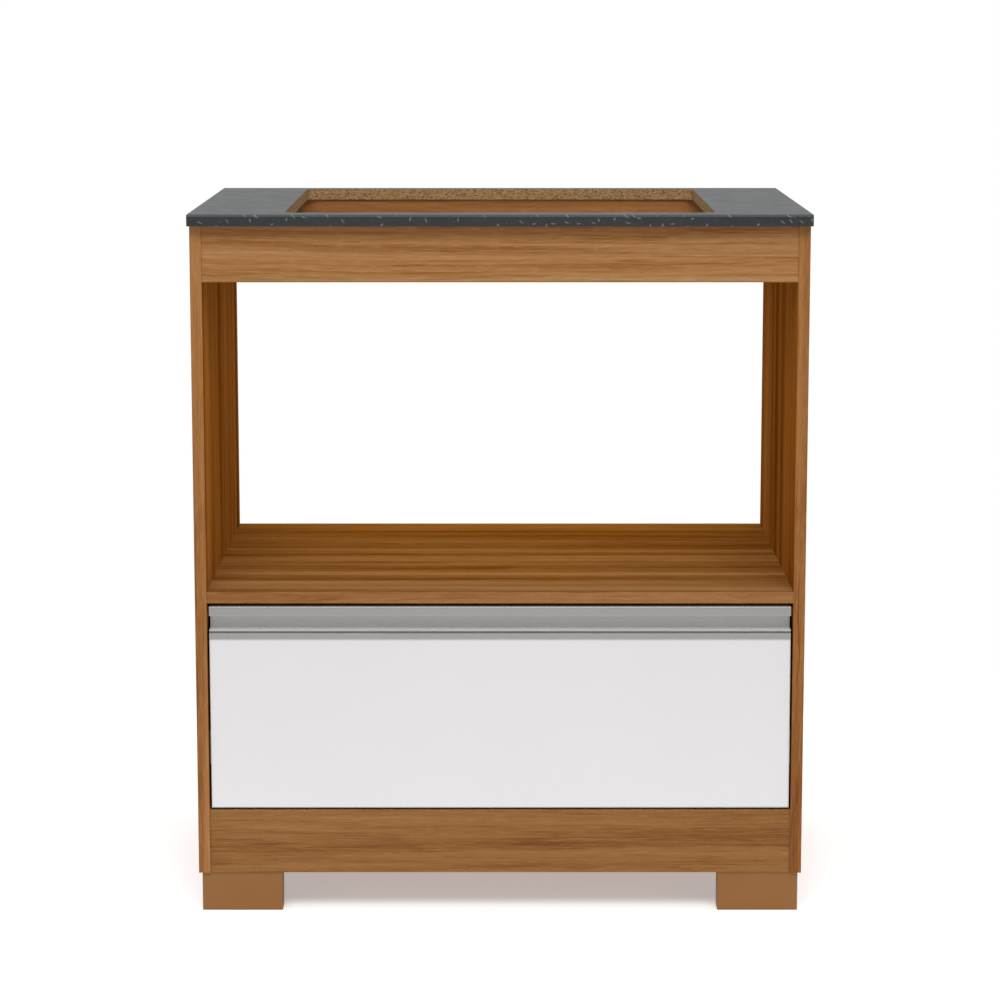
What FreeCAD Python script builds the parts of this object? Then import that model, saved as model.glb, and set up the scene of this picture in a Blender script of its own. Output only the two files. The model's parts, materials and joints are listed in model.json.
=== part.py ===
import FreeCAD, Part

import operator
import os
from collections import defaultdict
from types import SimpleNamespace

import Sketcher

# Cooktop base cabinet: boards between two side panels, a worktop with one large cut-out, an open
# niche, four corner feet and one deep drawer on ball-bearing slides.
# Millimetres. +Z is up, the front faces -Y, and the origin is on the floor under the worktop's middle.

V = FreeCAD.Vector
doc = FreeCAD.newDocument("cooktop_cabinet")

# Driving sizes

SIZES = {
    # Carcass
    "cabinet_width": 796,
    "cabinet_depth": 512,
    "panel_height": 856,
    "board": 15,
    "edge_band": 0.8,
    "front_setback": 1,
    "rail_height": 73,
    "bay_height": 278,
    "plinth_height": 85,
    "plinth_setback": 2,
    "plinth_cam_drop": 12,
    "hardboard": 3,
    "back_panel_margin": 2,
    # Worktop and its cut-out
    "worktop_thickness": 15,
    "worktop_side_overhang": 2,
    "worktop_front_overhang": 15,
    "worktop_back_overhang": 5,
    "worktop_nose": 3,
    "worktop_ease": 0.6,
    "cutout_width": 555,
    "cutout_corner": 15,
    "cutout_rail_gap": 5,
    # Corner feet
    "foot_height": 52,
    "foot_length": 106,
    "foot_arm": 30,
    "foot_side_inset": 4,
    "foot_end_inset": 4,
    "foot_wall": 3,
    "foot_rib": 2,
    "foot_corner": 1.5,
    "foot_flange_height": 24,
    "foot_flange": 4,
    "foot_screw_first": 35,
    "foot_screw_pitch": 40,
    # Dowels and cam fittings
    "fit_gap": 0.1,
    "dowel_radius": 4,
    "dowel_length": 30,
    "dowel_depth": 10.5,
    "dowel_ease": 1,
    "cam_radius": 7.4,
    "cam_depth": 12,
    "cam_distance": 24,
    "bolt_radius": 3,
    "bolt_thread": 11,
    "bolt_collar": 1.5,
    "bolt_neck": 2.2,
    "bolt_head": 3.4,
    "bolt_head_length": 3.4,
    "bolt_head_play": 0.6,
    "bolt_short_of_cam": 2,
    "cover_rim": 1.1,
    "cover_thickness": 1,
    "joint_spacing": 32,
    "shelf_joint_inset": 60,
    # Screws and nails
    "screw_radius": 1.75,
    "screw_short_of_board": 1,
    "screw_head_radius": 3.5,
    "screw_head_height": 2,
    "screw_dome": 1.4,
    "long_screw_radius": 2,
    "long_screw_length": 40,
    "long_screw_head": 4,
    "recess_width": 0.8,
    "recess_length": 3.6,
    "recess_depth": 1,
    "nail_radius": 0.9,
    "nail_length": 16,
    "nail_head_radius": 2.2,
    "nail_head_height": 0.6,
    # Angle brackets under the worktop
    "bracket_leg": 25,
    "bracket_width": 16,
    "bracket_sheet": 2,
    "bracket_screw_level": 15,
    "bracket_panel_inset": 100,
    # Drawer box
    "drawer_gap": 3,
    "drawer_setback": 1,
    "drawer_back_room": 44.5,
    "drawer_floor_clearance": 20,
    "drawer_top_drop": 15,
    "groove_level": 12,
    "groove_depth": 6,
    "groove_play": 0.2,
    "drawer_cam_inset": 40,
    "back_screw_inset": 28,
    # Aluminium handle profile on the drawer front's top edge
    "handle_gap": 5,
    "handle_wall": 1.5,
    "handle_height": 43,
    "handle_lip": 12,
    "handle_floor": 30.5,
    "handle_groove_height": 3.3,
    "handle_groove_depth": 4,
    "handle_flange": 15,
    "handle_screw_edge": 8,
    "handle_edge": 0.5,
    "handle_play": 0.2,
    # Ball-bearing slides
    "slide_end_gap": 2,
    "slide_height": 45,
    "slide_thickness": 12.7,
    "slide_sheet": 1.2,
    "slide_level": 60,
    "slide_front_gap": 3,
    "slide_gap": 0.2,
    "screw_head_gap": 0.4,
    "inner_tip_gap": 0.3,
    "channel_lip": 1.2,
    "outer_lip_width": 1,
    "middle_lip_width": 0.6,
    "ball_gap": 0.1,
    "outer_ball": 2,
    "outer_ball_room": 0.9,
    "inner_ball": 1.7,
    "cage_sheet": 0.5,
    "cage_length": 180,
    "cage_margin": 12,
    "ball_pitch": 26,
    "slide_screw_front": 35,
    "slide_screw_middle": 130,
    "slide_screw_back": 40,
    "buffer_length": 8,
    "buffer_height": 12,
    "buffer_thickness": 8,
    # Release lever of each slide
    "lever_length": 60,
    "lever_height": 8,
    "lever_tip_height": 4,
    "lever_hub": 5,
    "lever_web_gap": 1.2,
    "lever_screw_gap": 30,
    "rivet_radius": 2,
    "rivet_head_radius": 3.2,
    "rivet_head_height": 0.6,
}

BALLS_IN_A_ROW = 7
FOOT_CELLS_IN_AN_ARM = 2
NAILS_IN_A_SIDE = 3
NAILS_IN_A_BOARD = 4
HANDLE_SCREWS = 4
LEFT, RIGHT = -1, 1
UP, DOWN = (0, 0, 1), (0, 0, -1)
FORWARD, BACKWARD = (0, -1, 0), (0, 1, 0)
SIGNS = {"+": operator.add, "-": operator.sub, "*": operator.mul, "/": operator.truediv}
SIDE_NAMES = {LEFT: "left", RIGHT: "right"}


class Size:
    """A length that knows both its formula in the sheet and its number now."""

    def __init__(self, formula, number):
        self.formula = formula
        self.number = number

    def __add__(self, other):
        return joined(self, "+", other)

    def __radd__(self, other):
        return joined(other, "+", self)

    def __sub__(self, other):
        return joined(self, "-", other)

    def __rsub__(self, other):
        return joined(other, "-", self)

    def __mul__(self, other):
        return joined(self, "*", other)

    def __rmul__(self, other):
        return joined(other, "*", self)

    def __truediv__(self, other):
        return joined(self, "/", other)

    def __neg__(self):
        return joined(-1, "*", self)


def as_size(value):
    return value if isinstance(value, Size) else Size(str(value), float(value))


def joined(left, sign, right):
    left = as_size(left)
    right = as_size(right)
    formula = f"({left.formula} {sign} {right.formula})"
    return Size(formula, SIGNS[sign](left.number, right.number))


def write_sheet():
    """Fill the sheet with one plain number per alias and return the aliases as sizes."""
    sheet = doc.addObject("Spreadsheet::Sheet", "Sizes")
    for row, (alias, number) in enumerate(SIZES.items(), start=1):
        sheet.set(f"A{row}", alias)
        sheet.set(f"B{row}", str(number))
        sheet.setAlias(f"B{row}", alias)
    doc.recompute()
    return SimpleNamespace(**{alias: Size(f"Sizes.{alias}", float(sheet.get(alias))) for alias in SIZES})


s = write_sheet()


# Helpers that place and shape things

def spread(low, high, count):
    """The middles of count equal stretches between low and high."""
    stretch = (high - low) / count
    return [low + stretch * (place + 0.5) for place in range(count)]


def same(one, other):
    return abs(one - other) < 0.01


def opposite(direction):
    return tuple(-part for part in direction)


def move(point, direction, distance):
    """The point moved along one of the six axis directions."""
    moved = []
    for place, part in zip(point, direction):
        if part > 0:
            place = place + distance
        if part < 0:
            place = place - distance
        moved.append(place)
    return tuple(moved)


def put(thing, point, rotation=FreeCAD.Rotation()):
    """Give a thing its Placement, with each coordinate bound to the sheet."""
    point = [as_size(place) for place in point]
    thing.Placement = FreeCAD.Placement(V(*[place.number for place in point]), rotation)
    for axis, place in zip("xyz", point):
        thing.setExpression(f"Placement.Base.{axis}", place.formula)
    return thing


def turn(up, side=None):
    """The rotation that takes +Z to up and, if side is given, +X to side."""
    if side is None:
        return FreeCAD.Rotation(V(0, 0, 1), V(*up))
    across = V(*up).cross(V(*side))
    return FreeCAD.Rotation(V(*side), across, V(*up), "ZXY")


def block(name, x, y, z):
    """A straight block between three pairs of planes."""
    thing = doc.addObject("Part::Box", name)
    for size_name, (low, high) in zip(("Length", "Width", "Height"), (x, y, z)):
        thing.setExpression(size_name, (high - low).formula)
    return put(thing, (x[0], y[0], z[0]))


def rod(name, point, direction, radius, length):
    """A round bar or drilling from a point along an axis direction."""
    thing = doc.addObject("Part::Cylinder", name)
    thing.setExpression("Radius", radius.formula)
    thing.setExpression("Height", length.formula)
    return put(thing, point, turn(direction))


def copy_of(master, point, up=UP, side=None):
    """One more of a small part, with its +Z turned to up and its +X to side."""
    link = doc.addObject("App::Link", master.Label + "_copy")
    link.LinkedObject = master
    return put(link, point, turn(up, side))


def sketch_on(body, role, level):
    """A sketch on one of the body's origin planes, moved to a level along that plane's axis."""
    sketch = body.newObject("Sketcher::SketchObject", body.Name + "_outline")
    plane = next(feature for feature in body.Origin.OriginFeatures if feature.Role == role)
    sketch.AttachmentSupport = [(plane, "")]
    sketch.MapMode = "FlatFace"
    normal_offset = -as_size(level) if role == "XZ_Plane" else as_size(level)
    sketch.setExpression("AttachmentOffset.Base.z", normal_offset.formula)
    return sketch


def held(sketch, geometry, point_of, u, v):
    """Hold a point of the sketch at u and v from the sketch's origin."""
    for kind, size in (("DistanceX", as_size(u)), ("DistanceY", as_size(v))):
        rule = sketch.addConstraint(Sketcher.Constraint(kind, -1, 1, geometry, point_of, size.number))
        sketch.setExpression(f"Constraints[{rule}]", size.formula)


def polygon(sketch, corners):
    """A closed straight outline with every corner bound to the sheet."""
    ends = corners[1:] + corners[:1]
    lines = []
    for (u, v), (next_u, next_v) in zip(corners, ends):
        start = V(as_size(u).number, as_size(v).number, 0)
        end = V(as_size(next_u).number, as_size(next_v).number, 0)
        lines.append(sketch.addGeometry(Part.LineSegment(start, end), False))
    for line, following in zip(lines, lines[1:] + lines[:1]):
        sketch.addConstraint(Sketcher.Constraint("Coincident", line, 2, following, 1))
    for line, (u, v) in zip(lines, corners):
        held(sketch, line, 1, u, v)
    return sketch


def rectangle(sketch, u, v):
    return polygon(sketch, [(u[0], v[0]), (u[1], v[0]), (u[1], v[1]), (u[0], v[1])])


def circle(sketch, u, v, radius):
    middle = V(as_size(u).number, as_size(v).number, 0)
    ring = sketch.addGeometry(Part.Circle(middle, V(0, 0, 1), radius.number), False)
    held(sketch, ring, 3, u, v)
    rule = sketch.addConstraint(Sketcher.Constraint("Radius", ring, radius.number))
    sketch.setExpression(f"Constraints[{rule}]", radius.formula)
    return sketch


def feature(body, kind, sketch, length, against=False):
    """A Pad or Pocket of a sketch; against turns it round to the plane's other side."""
    made = body.newObject(f"PartDesign::{kind}", f"{body.Name}_{kind.lower()}")
    made.Profile = sketch
    made.setExpression("Length", length.formula)
    made.Reversed = against
    return made


def rounded(body, base, radius, wanted):
    """Round the edges of a feature whose middle point and direction pass the test."""
    doc.recompute()
    names = []
    for number, edge in enumerate(base.Shape.Edges, start=1):
        if len(edge.Vertexes) < 2:
            continue
        along = (edge.Vertexes[1].Point - edge.Vertexes[0].Point).normalize()
        if wanted(edge.CenterOfMass, along):
            names.append(f"Edge{number}")
    fillet = body.newObject("PartDesign::Fillet", body.Name + "_round")
    fillet.Base = (base, names)
    fillet.setExpression("Radius", radius.formula)
    return fillet


def new_body(name):
    return doc.addObject("PartDesign::Body", name)


def extrusion(name, role, level, corners, length, against=False):
    """A body that is one straight outline, padded."""
    body = new_body(name)
    feature(body, "Pad", polygon(sketch_on(body, role, level), corners), length, against)
    return body


def turned(name, half_section):
    """A body of revolution about Z from the corners of its half section."""
    body = new_body(name)
    spin = body.newObject("PartDesign::Revolution", name + "_spin")
    spin.Profile = polygon(sketch_on(body, "XZ_Plane", 0), half_section)
    spin.ReferenceAxis = (spin.Profile[0], ["V_Axis"])
    spin.Angle = 360
    return body


# Planes that several pieces share

side_out = s.cabinet_width / 2
side_in = side_out - s.board
front = (s.worktop_front_overhang - s.worktop_back_overhang - s.cabinet_depth) / 2
back = front + s.cabinet_depth
panel_bottom = s.foot_height
panel_top = s.foot_height + s.panel_height
worktop_top = panel_top + s.worktop_thickness
rail_front = front + s.front_setback
rail_back = rail_front + s.board
plinth_front = front + s.plinth_setback
plinth_back = plinth_front + s.board
base_top = s.foot_height + s.plinth_height
base_bottom = base_top - s.board
shelf_bottom = base_top + s.bay_height
shelf_top = shelf_bottom + s.board
across = (-side_in, side_in)

drawer_out = side_in - s.slide_thickness
drawer_in = drawer_out - s.board
handle_face = front + s.drawer_setback
drawer_face = handle_face + s.handle_wall
drawer_face_back = drawer_face + s.board
front_half_width = side_in - s.drawer_gap
front_bottom = base_top + s.drawer_gap
handle_top = shelf_bottom - s.handle_gap
handle_groove_top = s.handle_floor + s.handle_wall
handle_groove_bottom = handle_groove_top + s.handle_groove_height
front_top = handle_top - handle_groove_bottom - s.handle_wall - s.handle_play
drawer_back_end = back - s.drawer_back_room
box_bottom = base_top + s.drawer_floor_clearance
box_top = handle_top - s.handle_height - s.handle_flange - s.drawer_top_drop
drawer_bottom_low = box_bottom + s.groove_level
drawer_bottom_top = drawer_bottom_low + s.hardboard
slide_front = drawer_face_back + s.slide_front_gap
slide_length = drawer_back_end - drawer_face_back
member_length = slide_length - s.buffer_length - s.slide_end_gap
slide_axis = box_bottom + s.slide_level

# Levels in a slide, from its axis
outer_half = s.slide_height / 2
outer_ball_level = outer_half - s.slide_sheet - s.ball_gap - s.outer_ball
middle_half = outer_ball_level - s.outer_ball - s.ball_gap
inner_ball_level = middle_half - s.slide_sheet - s.ball_gap - s.inner_ball
inner_half = inner_ball_level - s.inner_ball - s.ball_gap

# Offsets in a slide, from the side panel
middle_web = s.slide_sheet + s.screw_head_height + s.screw_head_gap + s.cage_sheet + s.slide_gap
middle_web_face = middle_web + s.slide_sheet
middle_tip = s.slide_thickness - s.slide_sheet - s.slide_gap
outer_lip = middle_web + s.outer_ball * 2 + s.outer_ball_room
inner_tip = middle_web_face + s.slide_gap + s.cage_sheet + s.inner_tip_gap
inner_depth = s.slide_thickness - s.slide_sheet - inner_tip

# Lengths of the small parts
screw_length = s.board - s.screw_short_of_board
bolt_reach = s.cam_distance - s.bolt_short_of_cam
cam_bore = s.bolt_head + s.bolt_head_play
cutout_half_width = s.cutout_width / 2

blanks = {}
holes = defaultdict(list)
groups = defaultdict(list)


# Small parts that are used many times

def cross_recess(body, level):
    """The cross of a screw or cam head, cut down from its top."""
    arm = s.recess_length / 2
    half = s.recess_width / 2
    corners = [(-arm, -half), (-half, -half), (-half, -arm), (half, -arm), (half, -half), (arm, -half),
               (arm, half), (half, half), (half, arm), (-half, arm), (-half, half), (-arm, half)]
    feature(body, "Pocket", polygon(sketch_on(body, "XY_Plane", level), corners), s.recess_depth)


def make_pan_screw():
    """Pan-head screw; its shank points down from the face that the head sits on."""
    body = new_body("pan_screw")
    head = feature(body, "Pad", circle(sketch_on(body, "XY_Plane", 0), 0, 0, s.screw_head_radius),
                   s.screw_head_height)
    top = s.screw_head_height.number
    doc.recompute()
    rim = [f"Edge{number}" for number, edge in enumerate(head.Shape.Edges, start=1)
           if same(edge.BoundBox.ZMin, top)]
    dome = body.newObject("PartDesign::Fillet", "pan_screw_dome")
    dome.Base = (head, rim)
    dome.setExpression("Radius", s.screw_dome.formula)
    feature(body, "Pad", circle(sketch_on(body, "XY_Plane", 0), 0, 0, s.screw_radius), screw_length, True)
    cross_recess(body, s.screw_head_height)
    return body


def make_flat_screw():
    """Long countersunk screw with its flat head at Z 0."""
    cone = s.long_screw_head - s.long_screw_radius
    tip = s.long_screw_radius
    body = turned("flat_screw", [
        (0, 0), (s.long_screw_head, 0), (s.long_screw_radius, -cone),
        (s.long_screw_radius, tip - s.long_screw_length), (0, -s.long_screw_length)])
    cross_recess(body, 0)
    return body


def make_nail():
    return turned("nail", [
        (0, s.nail_head_height), (s.nail_head_radius, s.nail_head_height), (s.nail_head_radius, 0),
        (s.nail_radius, 0), (s.nail_radius, -s.nail_length), (0, -s.nail_length)])


def make_dowel():
    """Wooden dowel along +Z with eased ends."""
    blunt = s.dowel_radius - s.dowel_ease
    return turned("dowel", [
        (0, 0), (blunt, 0), (s.dowel_radius, s.dowel_ease), (s.dowel_radius, s.dowel_length - s.dowel_ease),
        (blunt, s.dowel_length), (0, s.dowel_length)])


def make_cam_bolt():
    """Cam bolt: its thread goes along +Z into the panel, its head reaches back to the cam."""
    collar = cam_bore - s.fit_gap
    head_start = s.bolt_head_length - bolt_reach
    return turned("cam_bolt", [
        (0, s.bolt_thread), (s.bolt_radius, s.bolt_thread), (s.bolt_radius, 0), (collar, 0),
        (collar, -s.bolt_collar), (s.bolt_neck, -s.bolt_collar), (s.bolt_neck, head_start),
        (s.bolt_head, head_start), (s.bolt_head, -bolt_reach), (0, -bolt_reach)])


def make_cam_housing():
    """Cam drum below Z 0, with a mouth towards +X for the bolt's head."""
    body = new_body("cam_housing")
    feature(body, "Pad", circle(sketch_on(body, "XY_Plane", 0), 0, 0, s.cam_radius), s.cam_depth, True)
    mouth = circle(sketch_on(body, "YZ_Plane", s.cam_radius), 0, -s.board / 2, cam_bore)
    feature(body, "Pocket", mouth, s.cam_radius + s.bolt_short_of_cam)
    cross_recess(body, 0)
    return body


def make_bracket():
    """Angle bracket with its corner at the origin: one leg down a wall at Y 0, one leg along +Y."""
    corners = [(0, 0), (s.bracket_leg, 0), (s.bracket_leg, -s.bracket_sheet),
               (s.bracket_sheet, -s.bracket_sheet), (s.bracket_sheet, -s.bracket_leg),
               (0, -s.bracket_leg)]
    body = extrusion("bracket", "YZ_Plane", -s.bracket_width / 2, corners, s.bracket_width)
    radius = s.screw_radius + s.fit_gap
    wall_hole = circle(sketch_on(body, "XZ_Plane", 0), 0, -s.bracket_screw_level, radius)
    feature(body, "Pocket", wall_hole, s.bracket_sheet)
    top_hole = circle(sketch_on(body, "XY_Plane", 0), 0, s.bracket_screw_level, radius)
    feature(body, "Pocket", top_hole, s.bracket_sheet)
    return body


def make_rivet():
    """Lever rivet: its head at Z 0, its shank along +Z to the inner member's web."""
    return turned("rivet", [
        (0, 0), (s.rivet_head_radius, 0), (s.rivet_head_radius, s.rivet_head_height),
        (s.rivet_radius, s.rivet_head_height), (s.rivet_radius, inner_depth), (0, inner_depth)])


def make_ball(name, radius):
    ball = doc.addObject("Part::Sphere", name)
    ball.setExpression("Radius", radius.formula)
    return ball


pan_screw = make_pan_screw()
flat_screw = make_flat_screw()
nail = make_nail()
dowel = make_dowel()
cam_bolt = make_cam_bolt()
cam_housing = make_cam_housing()
bracket = make_bracket()
rivet = make_rivet()
outer_ball = make_ball("outer_ball", s.outer_ball)
inner_ball = make_ball("inner_ball", s.inner_ball)


# Joinery: each call places its parts and drills every board that they pass

def drive_screw(group, point, into, boards):
    """A pan-head screw whose head sits at the point."""
    groups[group].append(copy_of(pan_screw, point, opposite(into)))
    hole = rod("screw_hole", point, into, s.screw_radius + s.fit_gap, screw_length + s.fit_gap)
    for board in boards:
        holes[board].append(hole)


def drive_flat_screw(group, point, into, boards):
    """A countersunk screw whose head is flush with the face at the point."""
    groups[group].append(copy_of(flat_screw, point, opposite(into)))
    sink = doc.addObject("Part::Cone", "countersink")
    sink.setExpression("Radius1", (s.long_screw_head + s.fit_gap).formula)
    sink.setExpression("Radius2", (s.long_screw_radius + s.fit_gap).formula)
    sink.setExpression("Height", (s.long_screw_head - s.long_screw_radius).formula)
    put(sink, point, turn(into))
    hole = rod("screw_hole", point, into, s.long_screw_radius + s.fit_gap, s.long_screw_length)
    holes[boards[0]].append(sink)
    for board in boards:
        holes[board].append(hole)


def drive_nail(group, point, into, boards):
    groups[group].append(copy_of(nail, point, opposite(into)))
    hole = rod("nail_hole", point, into, s.nail_radius + s.fit_gap, s.nail_length + s.fit_gap)
    for board in boards:
        holes[board].append(hole)


def fit_dowel(group, point, into, panel, board):
    """A dowel across the joint plane at the point, dowel_depth of it in the panel."""
    start = move(point, into, s.dowel_depth - s.dowel_length)
    groups[group].append(copy_of(dowel, start, into))
    hole_start = move(start, into, -s.fit_gap)
    hole = rod("dowel_hole", hole_start, into, s.dowel_radius + s.fit_gap, s.dowel_length + s.fit_gap * 2)
    holes[panel].append(hole)
    holes[board].append(hole)


def fit_cam(prefix, point, into, face, panel, board, covered):
    """A cam fitting: bolt in the panel, drum in the board's face that looks along face."""
    groups[prefix + "cam_bolts"].append(copy_of(cam_bolt, point, into))
    seat = move(move(point, into, -s.cam_distance), face, s.board / 2)
    groups[prefix + "cam_housings"].append(copy_of(cam_housing, seat, face, into))
    if covered:
        cover = rod("cover", seat, face, s.cam_radius + s.cover_rim, s.cover_thickness)
        groups[prefix + "cam_covers"].append(cover)
    thread_hole = rod("bolt_hole", point, into, s.bolt_radius + s.fit_gap, s.bolt_thread + s.fit_gap)
    holes[panel].append(thread_hole)
    holes[board].append(rod("neck_hole", point, opposite(into), cam_bore, s.cam_distance))
    drum_hole = rod("cam_hole", seat, opposite(face), s.cam_radius + s.fit_gap, s.cam_depth + s.fit_gap)
    holes[board].append(drum_hole)


# Carcass boards

def banded(x, y, z):
    """One strip of edge band on the carcass."""
    groups["edge_bands_carcass"].append(block("band", x, y, z))


def make_carcass():
    """Blanks of all carcass boards, shortened where an edge band covers their edge."""
    height = (panel_bottom, panel_top)
    for side, name in SIDE_NAMES.items():
        x = (side_in, side_out) if side == RIGHT else (-side_out, -side_in)
        core = (front + s.edge_band, back - s.edge_band)
        blanks[f"side_panel_{name}"] = block("side_panel", x, core, height)
        banded(x, (front, core[0]), height)
        banded(x, (core[1], back), height)

    rail_bottom = panel_top - s.rail_height
    rail_core = rail_bottom + s.edge_band
    for name, y in (("front", (rail_front, rail_back)), ("back", (back - s.board, back))):
        blanks[f"top_rail_{name}"] = block("top_rail", across, y, (rail_core, panel_top))
        banded(across, y, (rail_bottom, rail_core))

    shelf_core = (rail_front + s.edge_band, back - s.edge_band)
    shelf_level = (shelf_bottom, shelf_top)
    blanks["niche_shelf"] = block("niche_shelf", across, shelf_core, shelf_level)
    banded(across, (rail_front, shelf_core[0]), shelf_level)
    banded(across, (shelf_core[1], back), shelf_level)

    blanks["base_panel"] = block("base_panel", across, (plinth_back, back), (base_bottom, base_top))
    blanks["plinth_front"] = block("plinth_front", across, (plinth_front, plinth_back),
                                   (panel_bottom, base_top))
    blanks["plinth_back"] = block("plinth_back", across, (back - s.board, back),
                                  (panel_bottom, base_bottom))
    reach = side_out - s.back_panel_margin
    blanks["back_panel"] = block("back_panel", (-reach, reach), (back, back + s.hardboard),
                                 (panel_bottom + s.back_panel_margin, shelf_top - s.back_panel_margin))


def join_carcass():
    """Cam fittings and dowels at both ends of every board between the side panels."""
    half = s.board / 2
    rail_z = panel_top - s.rail_height / 2 + s.joint_spacing / 2
    plinth_z = base_bottom - s.plinth_cam_drop
    shelf_spots = [front + s.shelf_joint_inset, back - s.shelf_joint_inset]
    for side, name in SIDE_NAMES.items():
        panel = f"side_panel_{name}"
        into = (side, 0, 0)
        plane = side_in * side
        uprights = [
            ("top_rail_front", rail_front + half, rail_z, BACKWARD, True),
            ("top_rail_back", back - half, rail_z, FORWARD, True),
            ("plinth_front", plinth_front + half, plinth_z, BACKWARD, False),
            ("plinth_back", back - half, plinth_z, FORWARD, False)]
        for board, y, z, face, covered in uprights:
            fit_cam("", (plane, y, z), into, face, panel, board, covered)
            fit_dowel("dowels", (plane, y, z - s.joint_spacing), into, panel, board)
        flats = [("niche_shelf", shelf_bottom + half, True), ("base_panel", base_bottom + half, False)]
        for board, z, covered in flats:
            for y, inward in zip(shelf_spots, (1, -1)):
                fit_cam("", (plane, y, z), into, DOWN, panel, board, covered)
                fit_dowel("dowels", (plane, y + s.joint_spacing * inward, z), into, panel, board)


def nail_back_panel():
    """Nails through the hardboard into the edges of the boards in front of it."""
    face = back + s.hardboard
    middle = s.board / 2
    for side, name in SIDE_NAMES.items():
        for z in spread(base_top, shelf_bottom, NAILS_IN_A_SIDE):
            drive_nail("back_panel_nails", ((side_in + middle) * side, face, z), FORWARD,
                       ["back_panel", "edge_bands_carcass", f"side_panel_{name}"])
    for x in spread(-side_in, side_in, NAILS_IN_A_BOARD):
        drive_nail("back_panel_nails", (x, face, shelf_bottom + middle), FORWARD,
                   ["back_panel", "edge_bands_carcass", "niche_shelf"])
        drive_nail("back_panel_nails", (x, face, base_bottom + middle), FORWARD,
                   ["back_panel", "base_panel"])


# Worktop

def make_worktop():
    """The worktop with its rounded front edge and its large cut-out."""
    body = new_body("worktop_body")
    half_width = side_out + s.worktop_side_overhang
    x = (-half_width, half_width)
    y = (front - s.worktop_front_overhang, back + s.worktop_back_overhang)
    feature(body, "Pad", rectangle(sketch_on(body, "XY_Plane", panel_top), x, y), s.worktop_thickness)
    cutout_x = (-cutout_half_width, cutout_half_width)
    cutout_y = (rail_back + s.cutout_rail_gap, back - s.board - s.cutout_rail_gap)
    cut = feature(body, "Pocket", rectangle(sketch_on(body, "XY_Plane", worktop_top), cutout_x, cutout_y),
                  s.worktop_thickness)
    end = half_width.number
    front_edge = y[0].number
    top = worktop_top.number

    def cutout_corner(middle, along):
        return abs(along.z) > 0.9 and not same(abs(middle.x), end)

    def nose(middle, along):
        return abs(along.x) > 0.9 and same(middle.y, front_edge) and same(middle.z, top)

    def outer_end(middle, along):
        return abs(along.y) > 0.9 and same(abs(middle.x), end) and same(middle.z, top)

    cut = rounded(body, cut, s.cutout_corner, cutout_corner)
    nosed = rounded(body, cut, s.worktop_nose, nose)
    rounded(body, nosed, s.worktop_ease, outer_end)
    blanks["worktop"] = body


def fasten_worktop():
    """Angle brackets on the side panels and rails, each with one screw to the wall and one up."""
    panel_spots = (front + s.bracket_panel_inset, back - s.bracket_panel_inset)
    cover_edge = side_in - s.cam_distance - s.cam_radius - s.cover_rim
    rail_x = (cutout_half_width + cover_edge) / 2
    spots = []
    for side, name in SIDE_NAMES.items():
        for y in panel_spots:
            spots.append(((side_in * side, y, panel_top), (-side, 0, 0), f"side_panel_{name}"))
        spots.append(((rail_x * side, rail_back, panel_top), BACKWARD, "top_rail_front"))
        spots.append(((rail_x * side, back - s.board, panel_top), FORWARD, "top_rail_back"))
    for corner, outward, board in spots:
        sideways = tuple(V(*outward).cross(V(0, 0, 1)))
        groups["worktop_brackets"].append(copy_of(bracket, corner, UP, sideways))
        on_wall = move(move(corner, outward, s.bracket_sheet), DOWN, s.bracket_screw_level)
        drive_screw("worktop_bracket_screws", on_wall, opposite(outward), [board])
        under = move(move(corner, outward, s.bracket_screw_level), DOWN, s.bracket_sheet)
        drive_screw("worktop_bracket_screws", under, UP, ["worktop"])


# Corner feet

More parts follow.
